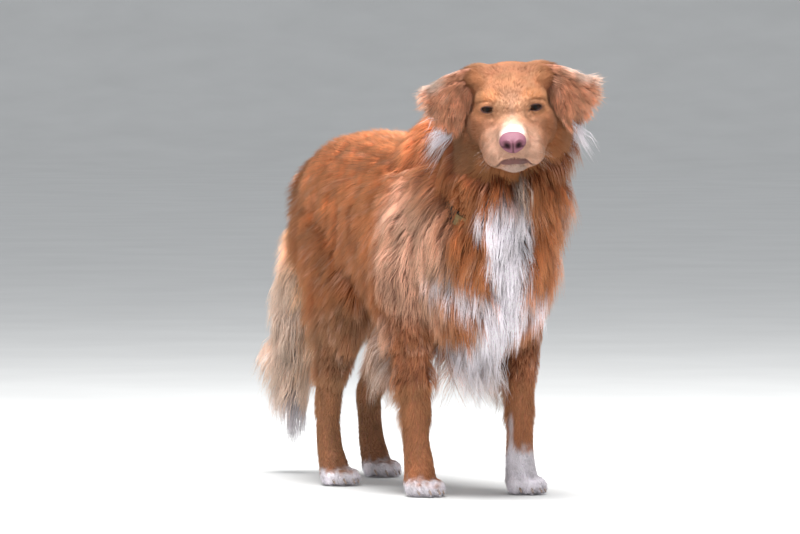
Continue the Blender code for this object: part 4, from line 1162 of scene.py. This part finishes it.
def lid_rim(side):
    """The edge of the lids: a thin tube along the eye's opening, on the ball of the eye."""
    sign = SIDES[side]
    turn = np.linspace(0, 2 * np.pi, 72, endpoint=False)
    across = (EYE_HALF + 0.0001) * np.cos(turn)
    up = np.where(np.sin(turn) > 0, *EYE_OPEN) * np.sin(turn) * (1 - 0.12 * np.cos(turn) ** 2)
    up = up + EYE_SLANT * across
    ahead = np.sqrt((EYE_RADIUS + 0.0009) ** 2 - across**2 - up**2)
    path = np.stack([sign * across, ahead, up], -1) + np.array(EYE_SEAT) * (sign, 1, 1)
    radii = 0.0005 + 0.0002 * np.exp(-((turn - np.pi) ** 2) / 0.3)
    points, faces = tube(in_head(path), radii, 8, closed=True)
    return outward(mesh_piece(f"lid_{side}", points, faces))


def nose_leather():
    """Rings from the middle of the nose out to its rim and back inside the muzzle.

    The outline is a rounded shield: half width 18.2 mm above, drawn in below the nostrils;
    the face bulges forward as 1 - t^2.4, with a pit at each nostril that trails outward and
    down, a groove down the middle, and a fine pebble.
    """
    face_rings, around = 44, 96
    t = np.concatenate([np.linspace(0.015, 1, face_rings), (1.04, 1.0, 0.8, 0.4)])[:, None]
    back = np.concatenate([np.zeros(face_rings), (0.0035, 0.009, 0.012, 0.013)])[:, None]
    turn = np.linspace(0, 2 * np.pi, around, endpoint=False)[None]
    c, s = np.cos(turn), np.sin(turn)
    wide = 0.0182 * (1 - 0.3 * ease(0.05, -1.0, s))
    tall = np.where(s > 0, 0.0128, 0.0165)
    across = t * wide * np.sign(c) * np.abs(c) ** 0.86
    up = t * tall * np.sign(s) * np.abs(s) ** 0.86
    ahead = 0.0098 * (1 - np.clip(t, 0, 1) ** 2.4) - 0.35 * np.clip(up, 0, 1) - back
    away = np.abs(across)
    pit = np.exp(-(((away - 0.0085 - 0.3 * (up + 0.001)) / 0.004) ** 2) - ((up + 0.0032) / 0.004) ** 2)
    trail = np.exp(-(((away - 0.0138) / 0.0036) ** 2) - ((up + 0.0068 - 0.1 * away) / 0.0015) ** 2)
    groove = np.exp(-((across / 0.0011) ** 2)) * ease(0.004, -0.004, up)
    wing = np.exp(-((np.hypot(away - 0.0092, up + 0.0016) - 0.0062) / 0.0017) ** 2)
    ahead = ahead - 0.0062 * pit - 0.0016 * trail - 0.0012 * groove + 0.0009 * wing
    points = np.stack([across - 0.001, ahead + 0.088, up - 0.0315], -1).reshape(-1, 3)
    grit = ripple(points, 0.0016, 11) * 0.0001
    points[:, 1] += grit * (back + 0 * turn == 0).ravel()
    obj = mesh_piece("nose_leather", in_head(points), ring_faces(len(t), around))
    # How deep the painted shade is: full in the nostrils, half along their trails and the groove.
    point_value(obj.data, "pit", np.clip((pit + 0.5 * trail + 0.5 * groove).ravel(), 0, 1))
    return outward(obj)


def whisker(start, heading, length, sag, thick, side):
    """A tube whose radius falls evenly from root + tip to tip, and that sags by the square of s."""
    s = np.linspace(0, 1, 9)[:, None]
    path = start + heading * length * s + np.array(sag) * s**2
    root, tip = thick
    return tube(in_head(path * (side, 1, 1)), root * (1 - s.ravel()) + tip, 5)


def whiskers():
    """Tapering hairs in three rows along each flew, and a few over the eyes."""
    rng = np.random.default_rng(9)
    shells = []
    for sign in (-1, 1):
        for row in range(3):
            for i in range(5):
                start = np.array((0.026 + 0.0015 * i, 0.07 - 0.009 * i, -0.044 - 0.007 * row))
                heading = np.array((0.75 + 0.05 * i, 0.25 - 0.1 * i, -0.35 - 0.15 * row))
                heading = heading / np.linalg.norm(heading) + rng.normal(0, 0.08, 3)
                length, sag = rng.uniform(0.018, 0.032), (0, -0.006, -0.006)
                shells.append(whisker(start, heading, length, sag, (0.00015, 0.00004), sign))
        for i in range(3):
            start = np.array((0.022 + 0.005 * i, 0.006 - 0.002 * i, 0.019))
            heading = np.array((0.1 + 0.15 * i, 0.55, 0.85)) + rng.normal(0, 0.06, 3)
            shells.append(whisker(start, heading, 0.015, (0, 0, -0.003), (0.00012, 0.00003), sign))
    return outward(merged_shells("whiskers", shells))


# ------------------------------------------------------------------ finishes
def nodes_for(name):
    made = bpy.data.materials.new(name)
    made.use_nodes = True
    tree = made.node_tree
    return made, tree, tree.nodes["Principled BSDF"]


def set_shader(shader, roughness, specular=0.5, **others):
    shader.inputs["Roughness"].default_value = roughness
    shader.inputs["Specular IOR Level"].default_value = specular
    for key, value in others.items():
        shader.inputs[key.replace("_", " ")].default_value = value


def attribute(tree, name, output="Fac"):
    node = tree.nodes.new("ShaderNodeAttribute")
    node.attribute_name = name
    return node.outputs[output]


def ramp(tree, value, stops):
    node = tree.nodes.new("ShaderNodeValToRGB")
    elements = node.color_ramp.elements
    elements[0].position, elements[1].position = stops[0][0], stops[-1][0]
    for place, _ in stops[1:-1]:
        elements.new(place)
    for element, (_, colour) in zip(elements, stops):
        element.color = (*colour, 1)
    tree.links.new(value, node.inputs["Fac"])
    return node.outputs["Color"]


def noise(tree, scale, detail=3.0, stretch=(1, 1, 1)):
    coordinates = tree.nodes.new("ShaderNodeTexCoord")
    mapping = tree.nodes.new("ShaderNodeMapping")
    mapping.inputs["Scale"].default_value = stretch
    node = tree.nodes.new("ShaderNodeTexNoise")
    node.inputs["Scale"].default_value = scale
    node.inputs["Detail"].default_value = detail
    tree.links.new(coordinates.outputs["Object"], mapping.inputs["Vector"])
    tree.links.new(mapping.outputs["Vector"], node.inputs["Vector"])
    return node.outputs["Fac"]


def times(tree, colour, factor):
    """A colour times a number, as a vector scaled by it."""
    node = tree.nodes.new("ShaderNodeVectorMath")
    node.operation = "SCALE"
    tree.links.new(colour, node.inputs[0])
    tree.links.new(factor, node.inputs["Scale"])
    return node.outputs["Vector"]


def sums(tree, operation, *values):
    """One Math node; each value is a number or another node's output."""
    node = tree.nodes.new("ShaderNodeMath")
    node.operation = operation
    for socket, value in zip(node.inputs, values):
        if isinstance(value, (int, float)):
            socket.default_value = value
        else:
            tree.links.new(value, socket)
    return node.outputs["Value"]


def bumped(tree, shader, height, distance, strength=1.0):
    node = tree.nodes.new("ShaderNodeBump")
    node.inputs["Distance"].default_value = distance
    node.inputs["Strength"].default_value = strength
    tree.links.new(height, node.inputs["Height"])
    tree.links.new(node.outputs["Normal"], shader.inputs["Normal"])


def hair_colour_group():
    """Colour of hair: the marking's colour, darker at the root as painted shade deep in the coat,
    paler at the tip as painted highlight, each lock a little off in tone, and a slow drift over the body."""
    group = bpy.data.node_groups.new("hair_colour", "ShaderNodeTree")
    for socket, kind in (("Marking", "Color"), ("Tone", "Float"), ("Along", "Float")):
        group.interface.new_socket(socket, in_out="INPUT", socket_type=f"NodeSocket{kind}")
    group.interface.new_socket("Colour", in_out="OUTPUT", socket_type="NodeSocketColor")
    taken, given = group.nodes.new("NodeGroupInput"), group.nodes.new("NodeGroupOutput")
    # Painted shade deep in the coat: each tuft darker towards its root.
    root_shade = [(0.0, (0.52,) * 3), (0.4, (0.86,) * 3), (1.0, (1.08,) * 3)]
    separate = group.nodes.new("ShaderNodeSeparateColor")
    group.links.new(ramp(group, taken.outputs["Along"], root_shade), separate.inputs["Color"])
    tone = sums(group, "MULTIPLY_ADD", taken.outputs["Tone"], 0.86, 0.56)
    drift = sums(group, "MULTIPLY_ADD", noise(group, 22.0, 2.0), 0.36, 0.82)
    streak = sums(group, "MULTIPLY_ADD", noise(group, 95.0, 2.0, (1, 1, 0.33)), 0.7, 0.65)
    drift = sums(group, "MULTIPLY", drift, streak)
    factor = sums(group, "MULTIPLY", sums(group, "MULTIPLY", separate.outputs[0], tone), drift)
    # Painted highlight: the tips screened paler.
    tip_highlight = ramp(group, taken.outputs["Along"], [(0.35, (0.0, 0.0, 0.0)), (1.0, (0.17, 0.115, 0.05))])
    paler = group.nodes.new("ShaderNodeMix")
    paler.data_type, paler.blend_type = "RGBA", "SCREEN"
    paler.inputs["Factor"].default_value = 1.0
    group.links.new(times(group, taken.outputs["Marking"], factor), paler.inputs["A"])
    group.links.new(tip_highlight, paler.inputs["B"])
    group.links.new(paler.outputs["Result"], given.inputs["Colour"])
    return group


def hair_finish(group, skin=False):
    """Hair in soft strands; on the skin, close short fur in a fine running bump."""
    made, tree, shader = nodes_for("skin_fur" if skin else "coat_hair")
    node = tree.nodes.new("ShaderNodeGroup")
    node.node_tree = group
    tree.links.new(attribute(tree, "coat", "Color"), node.inputs["Marking"])
    tree.links.new(attribute(tree, "along"), node.inputs["Along"])
    if skin:
        node.inputs["Tone"].default_value = 0.4
        bumped(tree, shader, noise(tree, 700.0, 2.0), 0.0006, 0.6)
    else:
        tree.links.new(attribute(tree, "tone"), node.inputs["Tone"])
    tree.links.new(node.outputs["Colour"], shader.inputs["Base Color"])
    set_shader(shader, 0.58, 0.3)
    return made


def eye_finish():
    """A wet dark eye: pupil, brown iris and reddened white, by the angle from its axis."""
    made, tree, shader = nodes_for("eye_wet")
    look = sums(tree, "MULTIPLY_ADD", noise(tree, 900.0), 0.1, attribute(tree, "look"))
    pupil = [(0.0, (0.004, 0.003, 0.003)), (0.3, (0.006, 0.004, 0.003))]
    iris = [(0.36, (0.036, 0.014, 0.007)), (0.6, (0.026, 0.01, 0.005)), (0.8, (0.018, 0.008, 0.005))]
    white = [(0.88, (0.16, 0.09, 0.075)), (1.0, (0.22, 0.13, 0.11))]
    tree.links.new(ramp(tree, look, pupil + iris + white), shader.inputs["Base Color"])
    set_shader(shader, 0.3, 0.06, Coat_Weight=0.16, Coat_Roughness=0.03)
    return made


def leather_finish():
    """Pink leather, speckled, with painted shade dark in the nostrils and the groove, and a pebbled bump.
    """
    made, tree, shader = nodes_for("nose_leather_pink")
    pebble = tree.nodes.new("ShaderNodeTexVoronoi")
    pebble.inputs["Scale"].default_value = 900.0
    coordinates = tree.nodes.new("ShaderNodeTexCoord")
    tree.links.new(coordinates.outputs["Object"], pebble.inputs["Vector"])
    pit = sums(tree, "MULTIPLY_ADD", noise(tree, 260.0, 4.0), 0.22, attribute(tree, "pit"))
    pinks = [(0.0, (0.25, 0.1, 0.134)), (0.22, (0.2, 0.074, 0.1))]
    pit_shade = [(0.5, (0.1, 0.032, 0.044)), (1.0, (0.028, 0.008, 0.011))]
    tree.links.new(ramp(tree, pit, pinks + pit_shade), shader.inputs["Base Color"])
    bumped(tree, shader, pebble.outputs["Distance"], 0.0005, 0.5)
    set_shader(shader, 0.55, 0.25)
    return made


def plain_finish(
    name, dark, light, roughness, scale, specular=0.5, bump=0.0002, stretch=(1, 1, 1), metallic=0.0
):
    """A colour drifting between two, with a fine bump of the same noise."""
    made, tree, shader = nodes_for(name)
    drift = noise(tree, scale, 4.0, stretch)
    tree.links.new(ramp(tree, drift, [(0.3, dark), (0.7, light)]), shader.inputs["Base Color"])
    bumped(tree, shader, drift, bump, 0.6)
    set_shader(shader, roughness, specular, Metallic=metallic)
    return made


def webbing_finish():
    """Black woven webbing: two crossed waves round the neck and up the band."""
    made, tree, shader = nodes_for("collar_webbing")
    waves = []
    for scale, axis in ((320.0, "X"), (420.0, "Z")):
        coordinates = tree.nodes.new("ShaderNodeTexCoord")
        wave = tree.nodes.new("ShaderNodeTexWave")
        wave.bands_direction = axis
        wave.inputs["Scale"].default_value = scale
        tree.links.new(coordinates.outputs["Object"], wave.inputs["Vector"])
        waves.append(wave.outputs["Fac"])
    weave = sums(tree, "MULTIPLY", *waves)
    blacks = [(0.0, (0.006, 0.006, 0.007)), (1.0, (0.03, 0.03, 0.034))]
    tree.links.new(ramp(tree, weave, blacks), shader.inputs["Base Color"])
    bumped(tree, shader, weave, 0.0006, 0.8)
    set_shader(shader, 0.62, 0.4)
    return made


# ------------------------------------------------------------------ camera, floor, light
def camera():
    """A long lens ten metres off, a little above level, to the right of the dog's nose."""
    azimuth, elevation, distance = math.radians(-27), math.radians(2.0), 10.0
    right = Vector((math.cos(azimuth), math.sin(azimuth), 0))
    level = Vector((math.sin(azimuth), -math.cos(azimuth), 0))
    towards = level * math.cos(elevation) + Vector((0, 0, math.sin(elevation)))
    data = bpy.data.cameras.new("view")
    data.lens, data.sensor_width = 310.0, 36.0
    data.clip_end = 100.0
    obj = linked(bpy.data.objects.new("view", data))
    obj.location = Vector(HOME) + Vector((0, 0, 0.3194)) - right * 0.0116 + towards * distance
    obj.rotation_euler = (-towards).to_track_quat("-Z", "Y").to_euler()
    bpy.context.scene.camera = obj


def lamp(name, place, size, power, colour=(1, 1, 1)):
    data = bpy.data.lights.new(name, "AREA")
    data.shape, data.size, data.energy, data.color = "DISK", size, power, colour
    obj = linked(bpy.data.objects.new(name, data))
    obj.location = place
    obj.rotation_euler = (Vector((0, 0, 0.35)) - Vector(place)).to_track_quat("-Z", "Y").to_euler()


def studio():
    """A pale floor that sweeps up into a wall all round, under soft light from above and a
    little from the front."""
    turn = np.linspace(0, 2 * np.pi, 96, endpoint=False)
    bend = np.linspace(0, 1.25, 14)
    reach = np.concatenate([[0.5], 22 + 9 * np.sin(bend)])[:, None]
    height = np.concatenate([[0], 9 * (1 - np.cos(bend))])[:, None]
    points = np.stack([reach * np.cos(turn), reach * np.sin(turn), height + 0 * turn], -1)
    faces = ring_faces(15, 96)[:-1]
    floor = mesh_piece("floor", points.reshape(-1, 3) - HOME, [face[::-1] for face in faces])
    paint = plain_finish("floor_paint", (0.62, 0.62, 0.61), (0.66, 0.66, 0.65), 0.9, 3.0, 0.2, 0.0)
    floor.data.materials.append(paint)
    world = bpy.data.worlds.new("studio")
    bpy.context.scene.world = world
    world.use_nodes = True
    background = world.node_tree.nodes["Background"]
    background.inputs["Color"].default_value = (0.93, 0.96, 1.0, 1)
    background.inputs["Strength"].default_value = 0.66
    lamp("overhead", (-0.3, -0.5, 3.8), 2.4, 330)
    lamp("front_fill", (-2.4, -4.6, 2.6), 2.4, 60)
    bpy.context.scene.view_settings.view_transform = "Standard"


# ------------------------------------------------------------------ building
FLESH = ["head", "neck_upper", "neck_lower", "trunk", "tail"] + [
    f"{part}_{side}" for side in SIDES
    for part in ("front_leg", "front_paw", "hind_leg", "hind_paw", "thigh", "ear")
]


def is_head(p, h):
    """Ahead of the nape, and above the jaw and a line that rises from its corner to the nape."""
    low = -0.088 + 0.9 * np.clip(-0.015 - h[:, 1], 0, 1)
    return (h[:, 1] > -0.09 - 0.06 * (h[:, 2] > -0.01)) & (h[:, 2] > low) & (p[:, 2] > 0.44)


def is_face(p, h):
    """The front of the head, which has the finest hair."""
    return is_head(p, h) & (h[:, 1] > -0.028) & (h[:, 2] > -0.092) & (np.abs(h[:, 0]) < 0.05)


def is_tail(p):
    """Behind a slanting plane at the rump, and near the tail's own line."""
    return (p[:, 1] > 0.247 + 0.1 * (0.43 - p[:, 2])) & (np.abs(p[:, 0] + 0.008) < 0.024)


def is_foot(p):
    return p[:, 2] < 0.165


def is_front(p):
    """Ahead of a wavering, slanting line behind the forelegs."""
    return p[:, 1] + 0.02 * ripple(p, 0.02, 9) < -0.135 - 0.1 * (p[:, 2] - 0.3)


def not_hair(p, h):
    """Places with no hair: the eyes' openings, the nose, the lip line and the soles."""
    a = np.abs(h[:, 0])
    across = a - EYE_SEAT[0]
    eye = np.hypot(across / 0.0098, (h[:, 2] - EYE_SLANT * across) / 0.0056) < 1
    nose = (h[:, 1] > 0.078) & (np.hypot(a / 0.0165, (h[:, 2] + 0.0315) / 0.0135) < 1)
    mirrored = np.stack([a, h[:, 1], h[:, 2]], -1)
    lips = np.zeros(len(h), bool)
    near = np.abs(h[:, 1] - 0.05) < 0.06
    lips[near] = line_distance(mirrored[near], LIP_LINE) < 0.0016
    lower = np.hypot(a / 0.018, (h[:, 2] + 0.058 + 0.25 * a) / 0.005) < 1
    lips |= lower & (h[:, 1] > 0.062)
    return (eye & (h[:, 1] > -0.012)) | nose | lips | (p[:, 2] < 0.002)


def coat_pieces(body, ears):
    """The coat, piece by piece, over the body's surface and the ears'."""
    points, _, triangles = body
    centre = points[triangles].mean(axis=1)
    h = of_head(centre)
    hairy = ~not_hair(centre, h)
    head, face = is_head(centre, h), is_face(centre, h)
    tail, foot, front = is_tail(centre), is_foot(centre), is_front(centre)
    torso = ~head & ~tail & ~foot
    left = centre[:, 0] > 0.002
    long_y = centre[:, 1] + 0.02 * ripple(centre, 0.02, 10)
    rear = torso & (long_y > 0.075)
    middle = torso & ~rear & ~front
    # name, lie, markings, count, where, segments, clump, pull, thin, paleness
    plan = [
        ("coat_face", "head", "body", 38000, face & hairy, 1, 0.004, 0.12, 0.6, 0.62),
        ("coat_head", "head", "body", 27000, head & ~face & hairy, 1, 0.006, 0.3, 0.66, 0.42),
        ("coat_feet", "body", "body", 27000, foot & hairy, 1, 0.005, 0.2, 0.66, 0.62),
        ("coat_tail", "tail", "tail", 7500, tail, 3, 0.013, 0.5, 0.65),
    ]
    for name, where in (("left", left), ("right", ~left)):
        plan += [
            (f"coat_ruff_{name}", "body", "body", 16000, torso & front & where, 2, 0.011, 0.5, 0.5),
            (f"coat_flank_{name}", "body", "body", 40000, middle & where, 1, 0.009, 0.42, 0.5),
            (f"coat_thigh_{name}", "body", "body", 27000, rear & where, 1, 0.009, 0.42, 0.55),
        ]
    made = [feathers(body, centre)]
    for i, (name, kind, part, count, where, segments, *spread) in enumerate(plan):
        weight, seed = where.astype(float), 100 + 7 * i
        made.append(tufts(name, body, kind, part, count, weight, segments, seed, *spread))
    for side, ear in ears.items():
        made += ear_coat(side, ear)
    return made


def ear_coat(side, ear):
    """The hair all over an ear's flap, and the white wisp behind its lower half."""
    points, normals, triangles = ear
    across, _, up = of_head(points[triangles].mean(axis=1)).T
    from_middle = np.abs(across) + 0.004 * (side == "left")
    faces_back = (normals[triangles[:, 0]] @ HEAD_TURN)[:, 1] > 0.2
    low = faces_back & (up < -0.018) & (from_middle > 0.074) & (from_middle < 0.104)
    sign = SIDES[side]
    everywhere = np.ones(len(triangles))
    return [
        tufts(f"coat_ear_{side}", ear, "ear", "ear", 5200, everywhere, 2, 300 + sign, 0.0075, 0.45, 0.7),
        tufts(f"coat_ear_tuft_{side}", ear, f"tuft_{side}", "tuft", 120, low.astype(float), 3, 320 + sign,
              0.014, 0.6, 0.62),
    ]


def feathers(body, centre):
    """Long pale wisps behind the forearms, under the breast and at the fold of the flank."""
    weight = np.zeros(len(centre))
    for side, sign in SIDES.items():
        x, y = FRONT_PAW[side]
        back = blob(centre, (x, y + 0.052, 0.215), (0.022, 0.022, 0.075), 0.2)
        weight += back * ease(y + 0.03, y + 0.046, centre[:, 1])
        fold = (sign * 0.055, HIND_PAW[side][1] - 0.03, 0.275)
        weight += 0.5 * blob(centre, fold, (0.03, 0.03, 0.025), 0.3)
    weight += 0.7 * blob(centre, (0.0, -0.205, 0.215), (0.035, 0.045, 0.03), 0.3)
    return tufts("coat_feathers", body, "feather", "feather", 3200, weight, 4, 77, 0.016, 0.55, 0.8)


def paint_skin(body, points):
    """The skin under the hair has the coat's own colours, darkened as painted shade between the tufts, and
    lighter where the face is pale.
    """
    colours = coat_colour(points)
    plume = is_tail(points)
    colours[plume] = coat_colour(points[plume], "tail")
    point_colour(body.data, "coat", colours)
    pale = is_head(points, of_head(points)) & (colours[:, 0] > 0.25)
    point_value(body.data, "along", np.where(pale, 0.66, 0.3))


def build():
    """Skin, coat, eyes, nose and whiskers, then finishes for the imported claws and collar."""
    body = whole_skin()
    flaps = {side: mesh_piece(f"ear_flap_{side}", *ear_flap(side)) for side in SIDES}
    ears = {side: surface_of(flap.data) for side, flap in flaps.items()}
    surface = surface_of(body.data)
    group = hair_colour_group()
    coat = hair_finish(group)
    for piece in coat_pieces(surface, ears):
        piece.data.materials.append(coat)
        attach(piece, "root")
    paint_skin(body, surface[0])
    for side, flap in flaps.items():
        points = ears[side][0]
        point_colour(flap.data, "coat", coat_colour(points, "ear"))
        # The ear's leather darkened as painted shade under its hair.
        point_value(flap.data, "along", np.full(len(points), 0.38))
    skin = join_skin(body, flaps.values())
    skin.data.materials.append(hair_finish(group, skin=True))
    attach(skin, "root")
    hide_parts(*FLESH)
    wet = eye_finish()
    lids = plain_finish("lid_rim", (0.04, 0.015, 0.012), (0.085, 0.034, 0.028), 0.5, 300.0)
    for side in SIDES:
        ball_piece, rim = eyeball(side), lid_rim(side)
        ball_piece.data.materials.append(wet)
        rim.data.materials.append(lids)
        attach(ball_piece, "root")
        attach(rim, "root")
        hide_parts(f"eye_{side}")
    nose = nose_leather()
    nose.data.materials.append(leather_finish())
    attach(nose, "root")
    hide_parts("nose")
    hairs = whiskers()
    hairs.data.materials.append(plain_finish("whisker", (0.4, 0.27, 0.2), (0.62, 0.5, 0.42), 0.4, 80.0))
    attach(hairs, "root")
    horn = plain_finish("claw_horn", (0.2, 0.13, 0.1), (0.42, 0.32, 0.26), 0.35, 160.0, stretch=(1, 1, 0.3))
    brass = plain_finish("brass", (0.13, 0.085, 0.042), (0.27, 0.18, 0.085), 0.35, 220.0, metallic=1.0)
    finishes = {"claw": horn, "collar_band": webbing_finish(), "collar_buckle": brass}
    for name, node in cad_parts.items():
        for word, finish in finishes.items():
            if word in name:
                node.data.materials.clear()
                node.data.materials.append(finish)


def join_skin(body, flaps):
    """The body's skin with the ears' leather set into it, as one object."""
    bm = bmesh.new()
    bm.from_mesh(body.data)
    for flap in flaps:
        bm.from_mesh(flap.data)
        bpy.data.objects.remove(flap)
    bm.to_mesh(body.data)
    bm.free()
    return body


camera()
studio()
build()
